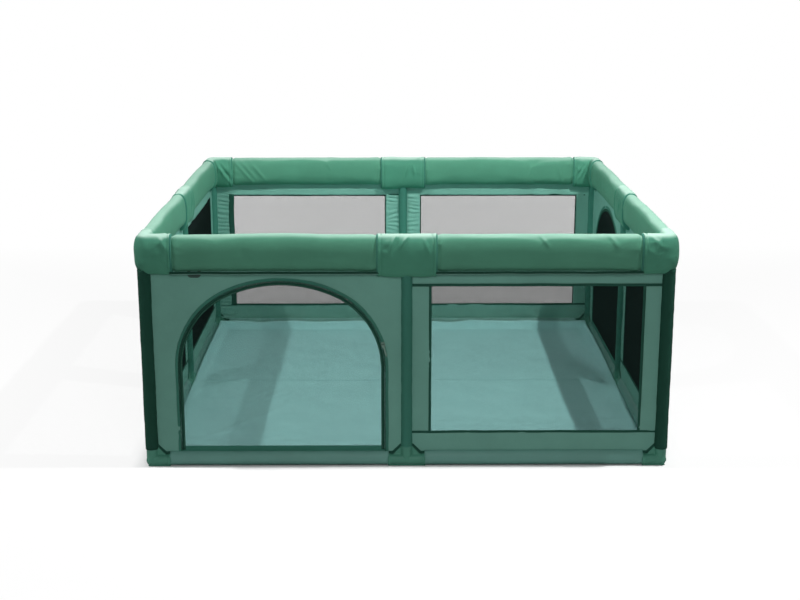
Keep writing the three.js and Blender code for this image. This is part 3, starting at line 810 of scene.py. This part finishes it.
def piping(half):
    """The seam along the rail's outer foot, whose dark cloth is a painted shade under the cushion, and the
    thin light piping under it.
    """
    sizes = bpy.context.scene.pen_sizes
    lap = 0.004  # in under the covers
    along = np.linspace(sizes.middle_cover / 2 - lap, HALF - sizes.corner_cover + lap, 90)
    angle = circle(8)
    sway = 0.0005 * ripple(along, along * 0, half.side + half.index, 0.04, 0.2)
    for part, radius, out, rise, look in (
        # painted shade: the seam's dark cloth stands for the shade under the cushion's foot
        ("seam", 0.0034, -0.0186, 0.0016, "corner cloth"),
        ("piping", sizes.piping, -0.0168, -0.0026, "piping cloth"),
    ):
        height = (PAD_LOW.z + rise + sway)[:, None] + radius * np.sin(angle)
        rings = at((half.sign * along)[:, None], out + radius * np.cos(angle), height)
        half.loft(f"rail_{part}", rings, look, "pad_cover")


# Walls


def notch_line(sizes):
    """The wall's foot beside a post, over the joint's arm and gusset, as distances from the post's axis
    and heights."""
    gusset = ARM_REACH - 0.015
    off = (SOCKET_RADIUS - 0.002, gusset, gusset + 0.003, ARM_REACH + 0.003)
    arm_top = 2 * SOCKET_RADIUS
    return off, (RISER_TOP + 0.003, arm_top + 0.0042, arm_top + 0.0036, sizes.hem_top - 0.005)


def door_half_width(sizes):
    return (LEAF_HIGH.x - LEAF_LOW.x) / 2 + sizes.leaf_gap


def arch(sizes):
    """The doorway's haunch radius, crown radius, crown centre, haunch centre and the haunch's sweep."""
    half_width = door_half_width(sizes)
    haunch = half_width - sizes.haunch_offset
    crown = half_width + sizes.crown_excess
    crown_centre = LEAF_HIGH.z + sizes.leaf_gap - crown
    leg = math.sqrt((crown - haunch) ** 2 - sizes.haunch_offset**2)
    return haunch, crown, crown_centre, crown_centre + leg, math.atan2(leg, sizes.haunch_offset)


def arch_height(sizes, off, inset=0.0):
    """Height of the doorway's edge at a distance from its middle, drawn smaller by inset."""
    haunch, crown, crown_centre, haunch_centre, sweep = arch(sizes)
    haunch, crown = haunch - inset, crown - inset
    off = np.abs(off)
    over = crown_centre + np.sqrt(np.maximum(crown**2 - off**2, 0))
    beside = haunch_centre + np.sqrt(np.maximum(haunch**2 - (off - sizes.haunch_offset) ** 2, 0))
    return np.where(off < crown * math.cos(sweep), over, beside)


def arch_path(sizes, grow, foot):
    """The doorway's edge as (distance from its middle, height), drawn larger by grow."""
    haunch, crown, crown_centre, haunch_centre, sweep = arch(sizes)
    bend = np.linspace(0, sweep, 24)
    over = np.linspace(sweep, math.pi / 2, 30)
    haunch, crown = haunch + grow, crown + grow
    leg = np.array(((door_half_width(sizes) + grow, foot),))
    side = at(sizes.haunch_offset + haunch * np.cos(bend), haunch_centre + haunch * np.sin(bend))
    top = at(crown * np.cos(over), crown_centre + crown * np.sin(over))
    half = np.vstack((leg, side, top[1:]))
    return even(np.vstack((half, (half * (-1, 1))[-2::-1])), 220)


def window_edges(sizes):
    """The window's near and far edges, from the middle post, and its foot and top."""
    near = SOCKET_RADIUS - 0.001 + sizes.side_strip
    return near, HALF - near, sizes.hem_top + sizes.bottom_strip, PAD_LOW.z - sizes.top_strip


def wall_shape(half, x, height):
    """How far the wall cloth stands in from its plane: loose waves, and ruching where it is gathered."""
    sizes = bpy.context.scene.pen_sizes
    off = np.abs(x)
    seed = 3 * half.side + half.index
    slack = np.clip((height - sizes.hem_top) / 0.05, 0, 1) * np.clip((PAD_LOW.z - height) / 0.03, 0, 1)
    wave = 0.0011 * ripple(x, height, 40 + seed, 0.07, 0.4) * slack
    fine = 0.00035 * ripple(x, height, 80 + seed, 0.012, 0.04) * slack
    gathered = 0.0
    if half.wall == "back":
        reach, fade, pitch = 0.07, 0.02, 0.016  # of the gathers beside a post
        near = np.clip((reach - off) / fade, 0, 1)
        far = np.clip((off - HALF + reach) / fade, 0, 1) if half.index == 1 else 0.0
        sway = 0.007 * ripple(x, height, 7, 0.04, 0.12)
        fold = np.sin((height + sway) * math.tau / pitch)
        gathered = 0.0022 * (near + far) * fold * (0.7 + 0.4 * ripple(x, height, 8, 0.03, 0.1))
    return wave + fine + gathered


def wall_panel(half):
    """The cloth of one half of a wall, round its window or its doorway."""
    sizes = bpy.context.scene.pen_sizes
    tuck, rise = 0.012, 0.006  # how near the cloth's edges come to the posts' axes, and go up into the rail
    top = PAD_LOW.z + rise
    if half.has_door:
        half_width = door_half_width(sizes)
        near, far = DOOR_CENTRE - half_width, DOOR_CENTRE + half_width
        middle = DOOR_CENTRE - half_width * np.cos(np.linspace(0, math.pi, 61))
    else:
        near, far, foot, window_top = window_edges(sizes)
        middle = spaced(near, far, 60)
    off = np.concatenate((spaced(tuck, near, 12)[:-1], middle, spaced(far, HALF - tuck, 14)[1:]))
    low = np.minimum(*(np.interp(reach, *notch_line(sizes)) for reach in (off, HALF - off)))
    inside = (off > near - MICRON) & (off < far + MICRON)
    if half.has_door:
        edge = np.where(inside, arch_height(sizes, off - DOOR_CENTRE), arch(sizes)[3])
        levels, steps, opening = (low, edge, top), (63, 63), 0
    else:
        levels, steps, opening = (low, foot, window_top, top), (15, 109, 11), 1
    levels = [level + 0 * low for level in levels]
    rows = [spaced(*ends, count)[1:] for *ends, count in zip(levels, levels[1:], steps)]
    height = np.vstack((levels[0], *rows))
    x = np.broadcast_to(half.sign * off, height.shape)
    keep = np.ones((height.shape[0] - 1, height.shape[1] - 1), bool)
    first = sum(steps[:opening])
    keep[first : first + steps[opening], inside[:-1] & inside[1:]] = False
    out = wall_shape(half, x, height)
    return cloth_sheet(f"{half.name}_panel", half.side, x, height, out, "wall cloth", sizes.cloth, keep=keep)


def net_sheet(name, side, x0, x1, foot, top_at, body="pen"):
    """A ribbed net from x0 to x1. top_at gives its upper edge at each x."""
    count = 2 * int(round((x1 - x0) / bpy.context.scene.pen_sizes.net_rib))
    x = np.linspace(x0, x1, count + 1)
    share = np.linspace(0, 1, 10)[:, None]
    height = foot + (top_at(x) - foot) * share
    wide = np.broadcast_to(x, height.shape)
    rib = 0.0004 * (-1.0) ** np.arange(count + 1)
    belly = 0.0012 * ripple(wide, height, int(abs(x0) * 1000), 0.2, 0.6) * np.sin(share * math.pi)
    lie = rib + belly
    return cloth_sheet(name, side, wide, height, lie, "net", thick=0.0002, body=body)


def trim(half):
    """The tapes round a window, the upper and lower ones from post to post, and those at the foot over the
    joints, whose dark tape is partly a bound edge and partly a painted shadow in the gap above each joint's
    arm.
    """
    sizes = bpy.context.scene.pen_sizes
    near, far, foot, top = window_edges(sizes)
    rings = []
    if not half.has_door:
        start, stop = sizes.sleeve - 0.002, HALF - sizes.corner_sleeve + 0.002
        flat = (0.0014, -0.0012)  # thickness and place out of the wall
        upright = flat if half.wall == "back" else (0.0024, 0.0)
        for first, last, lie in (
            ((start, foot), (stop, foot), (0.0026, 0.0)),
            ((start, top), (stop, top), flat),
            ((near, foot), (near, top), upright),
            ((far, foot), (far, top), upright),
        ):
            path = even((first, last), 90)
            path[:, 1] += 0.0006 * ripple(path[:, 0], path[:, 1], 31 * half.side + half.index, 0.05, 0.3)
            rings.append(tape_rings(path * (half.sign, 1), sizes.binding, *lie))
        if half.name == "back_left":
            path = even(((far - 0.007, foot), (far - 0.007, top + 0.004)), 60)
            path[:, 0] += 0.001 * ripple(path[:, 1], path[:, 1], 17, 0.1, 0.4)
            rings.append(tape_rings(path, width=0.021, thick=0.0022, out=0.0006))
    # painted shadow: dark binding tape along the wall's foot over each joint, where the gap above the arm
    # lies in shade
    line = at(*notch_line(sizes))
    for path in (line, line * (-1, 1) + (HALF, 0)):
        rings.append(tape_rings(even(path, 14) * (half.sign, 1), width=0.0096, thick=0.003))
    return loft(f"{half.name}_wall_trim", [place(half.side, ring) for ring in rings], "binding tape")


def window(half):
    """The net of a window."""
    near, far, foot, top = window_edges(bpy.context.scene.pen_sizes)
    lap = 0.003
    x0, x1 = sorted((half.sign * (near - lap), half.sign * (far + lap)))
    name = f"{half.name}_window_net"
    return net_sheet(name, half.side, x0, x1, foot - lap, lambda x: top + lap + 0 * x)


def sleeve(name, side, x, radius, look, seed):
    """A cloth sleeve round a post, a little loose, lapped over the joint and into the rail."""
    lap = 0.008
    height = np.linspace(RISER_TOP - lap, PAD_LOW.z + lap, 90)
    high, turn = crossed(height, circle(28))
    loose = 0.0006 * ripple(high, radius * np.cos(turn), seed, 0.05, 0.25)
    loose = loose + 0.0004 * ripple(high, radius * np.sin(turn), seed + 1, 0.02, 0.06)
    width = radius + loose
    return loft(name, place(side, at(x + width * np.cos(turn), width * np.sin(turn), high)), look)


def hem(half):
    """The hem that runs round a base tube, drawn in to the seam over it."""
    sizes = bpy.context.scene.pen_sizes
    along = np.linspace(ARM_REACH - 0.002, HALF - ARM_REACH + 0.002, 150)
    run, turn = crossed(along, circle(26))
    rise = np.sin(turn)
    axis = SOCKET_RADIUS
    crown = 0.0 if half.has_door else 0.002  # the door's fold lies on the hem under it
    lowest = 0.0012  # clear of the floor
    half_depth = 0.0148
    up = np.where(rise > 0, (sizes.hem_top - axis + crown) * rise, (axis - 0.0013) * rise)
    drawn_in = 1 - 0.5 * np.clip(rise, 0, 1) ** 3
    loose = 0.0005 * ripple(run, 0.015 * turn, 120 + 3 * half.side + half.index, 0.03, 0.2)
    puckered = 0.0004 * np.sin(run * math.tau / 0.011) * np.clip(rise, 0, 1)
    depth = half_depth * squared(np.cos(turn), 0.85) * drawn_in * (1 + (loose + puckered) / 0.015)
    height = np.maximum(axis + up * (1 + loose / 0.03), lowest)
    return half.loft("hem", at(half.sign * run, depth, height), "hem cloth")


# Doors


def door_parts(side):
    """The zip bands, teeth, leaf border, leaf net and fold of a side's door."""
    name, _, _, door_end = SIDES[side]
    sizes = bpy.context.scene.pen_sizes
    body = f"{name}_door"
    centre = door_end * DOOR_CENTRE
    middle = np.array((centre, 0))
    foot = LEAF_LOW.z
    stitch, tooth = (0.003, 0.0006, 0.0005), (0.0013, 0.0026, 0.0018)
    for part, side_of, low, rides, look in (
        ("wall_band", 1, foot - 0.0045, "pen", "sleeve cloth"),
        ("leaf_band", -1, foot + 0.002, body, "corner cloth"),
    ):
        title = f"{name}_door_{part}"
        grow = side_of * (sizes.band / 2 + 0.0003)
        line = arch_path(sizes, grow, low) + middle
        tape(title, side, line, sizes.band, 0.0034, look, out=-0.0002, body=rides)
        for edge, shift in (("outer", sizes.band / 2 - 0.0016), ("inner", -sizes.band / 2 + 0.0028)):
            line = arch_path(sizes, grow + shift, low + 0.003) + middle
            beads(f"{title}_{edge}_stitches", side, line, sizes.stitch, stitch, -0.0019, "thread", rides)
        row = arch_path(sizes, side_of * (sizes.leaf_gap + 0.0009), low + 0.002) + middle
        start = 0.5 - side_of * 0.25  # the teeth of the two rows lie between each other
        beads(f"{title}_teeth", side, row, sizes.tooth, tooth, -0.0021, "binding tape", rides, start=start)
    inset = sizes.leaf_gap + DOOR_LAP
    x0, x1 = (centre + sign * (door_half_width(sizes) - inset) for sign in (-1, 1))

    def top_at(x):
        return np.maximum(arch_height(sizes, x - centre, inset - 0.004), foot + 0.02)

    net = net_sheet(f"{name}_door_net", side, x0, x1, foot + 0.004, top_at, body)
    bottom = at(np.linspace(x0 - 0.009, x1 + 0.009, 60), foot + 0.0077)
    width, thick = 0.012, 0.0026
    border = tape(f"{name}_door_foot_band", side, bottom, width, thick, "sleeve cloth", body=body)
    heights = np.linspace(-0.004, 0.005, 13) + foot
    x, height = crossed(np.linspace(x0 - 0.0116, x1 + 0.0116, 60), heights)
    fold = cloth_sheet(f"{name}_door_fold", side, x, height, 0.0, "sleeve cloth", thick=0.0009, body=None)
    del fold["flat_area"]
    ends = [Vector(place(side, np.array((centre, 0, foot + rise)))) for rise in (-0.0025, 0.0015)]
    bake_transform(fold)
    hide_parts(f"{name}_door_leaf")
    declare(net)


def finish_node(node, look, bevel=0.0):
    """Gives a piece of the frame its material, and breaks its edges."""
    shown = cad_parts[node]
    coat(shown.data, look)
    if bevel:
        sharp = math.radians(40)
        modify(shown, "BEVEL", width=bevel, segments=3, limit_method="ANGLE", angle_limit=sharp)


# Joints, mat and loop


def between(low_ring, high_ring):
    """A solid between two rings of as many points, as points and faces."""
    count = len(low_ring)
    sides = [(i, (i + 1) % count, count + (i + 1) % count, count + i) for i in range(count)]
    return low_ring + high_ring, sides + [tuple(range(count))[::-1], tuple(range(count, 2 * count))]


def bar(radius, start, end):
    """A closed round bar between two points."""
    start, end = Vector(start), Vector(end)
    turn = (end - start).to_track_quat("Z", "Y")
    ring = [turn @ Vector((radius * math.cos(a), radius * math.sin(a), 0)) for a in circle(40)]
    return between(*([point + centre for point in ring] for centre in (start, end)))


def prism(outline, thick, arm=(1, 0)):
    """A plate of an outline of (distance, height), standing along an arm's heading and thick across it."""
    cosine, sine = arm
    return between(
        *(
            [Vector((a * cosine - level * sine, a * sine + level * cosine, b)) for a, b in outline]
            for level in (-thick / 2, thick / 2)
        )
    )


def moulded(name, solids):
    """One mesh of overlapping solids, run together with soft fillets as moulded plastic is."""
    mesh = bpy.data.meshes.new(name)
    points, faces = [], []
    for some_points, some_faces in solids:
        faces += [tuple(i + len(points) for i in face) for face in some_faces]
        points += [tuple(point) for point in some_points]
    mesh.from_pydata(points, [], faces)
    face_outwards(mesh)
    piece = new_object(name, mesh)
    modify(piece, "REMESH", mode="VOXEL", voxel_size=0.0012, use_smooth_shade=True)
    modify(piece, "SMOOTH", factor=0.5, iterations=4)
    cast = bpy.data.meshes.new_from_object(piece.evaluated_get(bpy.context.evaluated_depsgraph_get()))
    bpy.data.objects.remove(piece)
    return cast


def joint_sizes():
    """A moulded joint's radius, the reach of its arms and the height of its riser over its centre, and half
    the outline of its web."""
    radius, riser = SOCKET_RADIUS - 0.0004, RISER_TOP - SOCKET_RADIUS
    web = [(GUSSET_REACH, 0), (GUSSET_REACH, radius - 0.001), (radius - 0.002, riser - 0.0003)]
    return radius, ARM_REACH, riser, web


def foot_outline(start, end):
    return [(start, -SOCKET_RADIUS), (end, -SOCKET_RADIUS), (end, FOOT_TOP), (start, FOOT_TOP)]


def tee_solids():
    """The base tee about its own centre: level arms, riser, collars, gussets and a flat foot."""
    radius, reach, riser, web = joint_sizes()
    mirrored = [(-a, b) for a, b in web[::-1]]
    return [
        bar(radius, (-reach, 0, 0), (reach, 0, 0)),
        bar(radius, (0, 0, 0), (0, 0, riser)),
        bar(radius + LIP, (-reach, 0, 0), (-reach + LIP_LENGTH, 0, 0)),
        bar(radius + LIP, (reach - LIP_LENGTH, 0, 0), (reach, 0, 0)),
        prism(mirrored[2:] + web + mirrored[:2], thick=0.010),
        prism(foot_outline(-reach, reach), thick=FOOT_WIDTH),
    ]


def corner_solids():
    """The base corner about its own centre: two level arms, riser, collars, gussets and flat feet."""
    radius, reach, riser, web = joint_sizes()
    solids = [bar(radius, (0, 0, -0.004), (0, 0, riser))]
    for arm in ((1, 0), (0, 1)):
        places = (-0.010, reach - LIP_LENGTH, reach)
        back, lip, end = ((along * arm[0], along * arm[1], 0) for along in places)
        solids += [bar(radius, back, end), bar(radius + LIP, lip, end)]
        solids += [prism(foot_outline(-0.011, reach), thick=FOOT_WIDTH, arm=arm)]
        solids += [prism([(0, 0), *web, (0, riser - 0.0003)], thick=0.009, arm=arm)]
    return solids


def mat_height(x, y):
    """How the mat lies: seams across and along its middle, a few soft waves and a crumpled patch."""
    flat, fade = 0.03, 0.05  # the margin that lies flat, and the one where the waves begin
    edge = np.clip((HALF - flat - np.maximum(np.abs(x), np.abs(y))) / fade, 0, 1)
    wave = 0.0016 * ripple(x, y, 5, 0.12, 0.6) + 0.0005 * ripple(x, y, 6, 0.04, 0.1)
    patch = bell(x + 0.44, 0.18) * bell(y + 0.13, 0.17)
    folds = (
        (-0.66, -0.60, 0.9, 0.45, 0.012, 0.004),
        (-0.60, -0.66, 0.7, 0.35, 0.010, 0.003),
        (0.2, -0.66, 1.9, 0.25, 0.01, 0.002),
    )
    lie = edge * (0.002 + wave + creases(x, y, folds) + 0.0009 * patch * ripple(x, y, 9, 0.016, 0.05))
    seams = bell(y - MAT_SEAM, 0.003) + bell(x, 0.003)
    return MAT_TOP + np.maximum(lie, -0.001) - 0.0022 * np.clip(seams, 0, 1)


def mat_curl(x, y, half):
    """How far the mat turns up against the hem along its back and the back half of its sides."""
    reach = 0.04  # how far in from an edge the mat begins to turn up
    rooms = (x + half, half - x, half - y)
    left, right, back = (np.clip((reach - room) / reach, 0, 1) ** 1.7 for room in rooms)
    rear = np.clip((y + 0.25) / 0.5, 0, 1)
    most = MAT_CURL + 0.003 * ripple(x, y, 12, 0.1, 0.4)
    return most * np.maximum(back, rear * np.maximum(left, 0.9 * right))


def floor_mat():
    """The mat, with its points closer together at its seams."""
    half = HALF - SOCKET_RADIUS + 0.0042
    even_steps, seam_steps = np.linspace(-half, half, 200), np.linspace(-0.006, 0.006, 11)
    lines = (np.unique(np.concatenate((even_steps, seam + seam_steps))) for seam in (0.0, MAT_SEAM))
    x, y = crossed(*lines)
    curl = mat_curl(x, y, half)
    lean = 0.15  # how far the edges come in for each metre that they turn up
    top = at(x - lean * np.sign(x) * curl, y - lean * curl, mat_height(x, y) + curl)
    faces, corners = grid(*x.shape, at(x, y))
    mat = object_of("floor_mat_cloth", top, faces, corners, "mat cloth", "pen", closed=False)
    modify(mat, "SOLIDIFY", thickness=0.0035, offset=-1)
    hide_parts("floor_mat")


def strap_loop():
    """The webbing loop, down from the rail, along and up again, with its corners rounded."""
    radius, width, thick = 0.006, 0.009, 0.0022
    reach, low = (LOOP_HIGH.x - LOOP_LOW.x) / 2 - width / 2, LOOP_LOW.z + radius
    bend = np.linspace(0, math.pi / 2, 7)
    corner = at(reach - radius + radius * np.cos(bend), low + radius - radius * np.sin(bend))
    half_path = np.vstack((((reach, LOOP_HIGH.z + 0.004),), corner))
    path = np.vstack((half_path, (half_path * (-1, 1))[::-1])) + ((LOOP_LOW.x + LOOP_HIGH.x) / 2, 0)
    line = even(path, 60)
    loop = tape("strap_loop_webbing", 0, line, width, thick, "webbing", out=-0.0032)
    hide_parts("strap_loop")


# Stage


def stage_floor():
    """A floor that keeps the pen's shadow, and is white where it is seen far from the pen."""
    material = bpy.data.materials.new("Stage floor")
    nodes = Nodes(material)
    nodes.tree.nodes.clear()
    direct = nodes.seen_directly()
    spot = nodes.parts(nodes.node("NewGeometry").outputs["Position"])
    away = nodes.sum("MAXIMUM", nodes.sum("ABSOLUTE", spot[0]), nodes.sum("ABSOLUTE", spot[1]))
    fade = nodes.node("ValToRGB", {"Fac": nodes.sum("DIVIDE", away, FADE_SPAN)})
    ramp = fade.color_ramp.elements
    none, most, whole = HALF + 0.01, HALF + 0.06, 2.3  # where the glow begins, is strong and is full
    ramp[0].position = none / FADE_SPAN
    ramp[1].position = whole / FADE_SPAN
    ramp.new(most / FADE_SPAN).color = (0.8, 0.8, 0.8, 1)
    share = nodes.sum("MULTIPLY", direct, fade.outputs["Color"])
    paint = nodes.mix(direct, (0.35, 0.35, 0.35, 1), (0.92, 0.92, 0.92, 1))
    painted = nodes.node("BsdfDiffuse", {"Color": paint}).outputs[0]
    glow = nodes.node("Emission").outputs[0]
    mix = nodes.node("MixShader", {0: share, 1: painted, 2: glow})
    nodes.node("OutputMaterial", {0: mix.outputs[0]})
    mesh = bpy.data.meshes.new("stage_floor")
    ends = (-STAGE_REACH, STAGE_REACH)
    mesh.from_pydata([(x, y, 0) for y in ends for x in ends], [], [(0, 1, 3, 2)])
    mesh.materials.append(material)
    new_object("stage_floor", mesh)


def stage_world(scene):
    """Dim light from all round, and white where it is seen."""
    scene.world = bpy.data.worlds.new("Stage world")
    nodes = Nodes(scene.world)
    background = nodes.tree.nodes["Background"].inputs
    background["Color"].default_value = (1, 1, 1, 1)
    nodes.feed(nodes.mix(nodes.seen_directly(), 0.09, 1.0, "FLOAT"), background["Strength"])


def stage_lamps():
    for name, spot, size, power in LAMPS:
        lamp = set_up(bpy.data.lights.new(name, "AREA"), shape="DISK", size=size, energy=power)
        turn = (AIM - Vector(spot)).to_track_quat("-Z", "Y").to_euler()
        set_up(new_object(name, lamp), location=spot, rotation_euler=turn, visible_camera=False)


# Operators


class PEN_OT_rail_cushions(bpy.types.Operator):
    """Builds the eight foam cushions over the top rail"""

    bl_idname = "pen.rail_cushions"
    bl_label = "Rail cushions"

    def execute(self, context):
        cushions = [rail_cushion(half) for side in range(4) for half in halves_of(side)]
        inflate(cushions)
        for cushion in cushions:
            pad(cushion)
        return {"FINISHED"}


class PEN_OT_rail_covers(bpy.types.Operator):
    """Builds the fitted covers over the corners and middles of the rail, and the piping under it"""

    bl_idname = "pen.rail_covers"
    bl_label = "Rail covers"

    def execute(self, context):
        sizes = context.scene.pen_sizes
        straight = at(np.linspace(-sizes.middle_cover / 2, sizes.middle_cover / 2, 60), 0.0)
        round_corner = corner_path(sizes.corner_cover, radius=0.014)
        for side, (name, corner, _, _) in enumerate(SIDES):
            rail_cover(f"{name}_middle", side, straight, sizes.cover_drop, seed=200 + side)
            rail_cover(corner, side, round_corner, drop=0.003, seed=210 + side)
            for half in halves_of(side):
                piping(half)
        return {"FINISHED"}


class PEN_OT_walls(bpy.types.Operator):
    """Builds the walls with their windows, sleeves and hems"""

    bl_idname = "pen.walls"
    bl_label = "Walls"

    def execute(self, context):
        sizes = context.scene.pen_sizes
        for side, (name, corner, _, _) in enumerate(SIDES):
            # painted shade: the front corners' sleeves are drawn in the dark corner cloth and the back ones
            # in the lighter sleeve cloth, though they are one cloth
            look = "corner cloth" if corner.startswith("front") else "sleeve cloth"
            posts = [
                sleeve(f"{name}_middle_sleeve", side, 0.0, sizes.sleeve, "sleeve cloth", seed=300 + side),
                sleeve(f"{corner}_sleeve", side, -HALF, sizes.corner_sleeve, look, seed=310 + side),
            ]
            for half, post in zip(halves_of(side), posts):
                panel = wall_panel(half)
                extra = [hem(half), trim(half), post]
                if not half.has_door:
                    declare(window(half))
                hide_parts(f"{name}_wall")
                declare(panel)
        return {"FINISHED"}


class PEN_OT_doors(bpy.types.Operator):
    """Builds the zipped net doors, with their sliders and pulls"""

    bl_idname = "pen.doors"
    bl_label = "Doors"

    def execute(self, context):
        for side, (name, _, _, door_end) in enumerate(SIDES):
            if door_end:
                door_parts(side)
                for part in ("slider", "pull"):
                    finish_node(f"{name}_zip_{part}", "zip metal", bevel=0.0004)
        return {"FINISHED"}


class PEN_OT_joints(bpy.types.Operator):
    """Builds the moulded joints at the foot of the frame and finishes the frame's own pieces"""

    bl_idname = "pen.joints"
    bl_label = "Joints and frame"

    def execute(self, context):
        casts = moulded("corner_cast", corner_solids()), moulded("tee_cast", tee_solids())
        for side, (name, corner, _, _) in enumerate(SIDES):
            nodes = f"{corner}_base_joint", f"{name}_base_tee"
            for node, cast, x in zip(nodes, casts, (-HALF, 0.0)):
                mesh = cast.copy()
                points = place(side, coordinates(mesh) + (x, 0, SOCKET_RADIUS))
                points[:, 2] = np.maximum(points[:, 2], 0)
                mesh.vertices.foreach_set("co", points.ravel())
                piece = mounted(f"{node}_moulding", mesh, "joint plastic", "pen")
                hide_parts(node)
        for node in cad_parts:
            if "tube" in node or node.endswith("post"):
                finish_node(node, "tube steel")
            elif node.endswith(("top_joint", "top_tee")):
                finish_node(node, "joint plastic")
        return {"FINISHED"}


class PEN_OT_mat(bpy.types.Operator):
    """Lays the floor mat and sews on the strap loop"""

    bl_idname = "pen.mat"
    bl_label = "Mat and strap loop"

    def execute(self, context):
        floor_mat()
        strap_loop()
        return {"FINISHED"}


class PEN_OT_stage(bpy.types.Operator):
    """Sets the floor, the backdrop, the lamps and the camera"""

    bl_idname = "pen.stage"
    bl_label = "Stage"

    def execute(self, context):
        scene = context.scene
        scene.view_settings.view_transform = "Standard"
        stage_floor()
        stage_world(scene)
        stage_lamps()
        scene.camera = new_object("camera", bpy.data.cameras.new("camera"))
        scene.camera.data.lens = CAMERA_LENS
        turn = (math.radians(90 - CAMERA_DIP), 0, math.radians(CAMERA_TURN))
        set_up(scene.camera, location=CAMERA_PLACE, rotation_euler=turn)
        return {"FINISHED"}


class PEN_PT_panel(bpy.types.Panel):
    """Lists the playpen's operators"""

    bl_idname = "PEN_PT_panel"
    bl_label = "Playpen"
    bl_space_type = "VIEW_3D"
    bl_region_type = "UI"
    bl_category = "Playpen"

    def draw(self, context):
        for operator in OPERATORS:
            self.layout.operator(operator.bl_idname)


OPERATORS = (
    PEN_OT_stage,
    PEN_OT_rail_cushions,
    PEN_OT_rail_covers,
    PEN_OT_walls,
    PEN_OT_doors,
    PEN_OT_joints,
    PEN_OT_mat,
)
CLASSES = (PenSizes, PenColours, *OPERATORS, PEN_PT_panel)


def register():
    for item in CLASSES:
        bpy.utils.register_class(item)
    bpy.types.Scene.pen_sizes = bpy.props.PointerProperty(type=PenSizes)
    bpy.types.Scene.pen_colours = bpy.props.PointerProperty(type=PenColours)


def unregister():
    del bpy.types.Scene.pen_colours
    del bpy.types.Scene.pen_sizes
    for item in reversed(CLASSES):
        bpy.utils.unregister_class(item)


def main():
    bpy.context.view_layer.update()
    register()
    for operator in OPERATORS:
        group, name = operator.bl_idname.split(".")
        getattr(getattr(bpy.ops, group), name)()


if __name__ == "__main__":
    main()
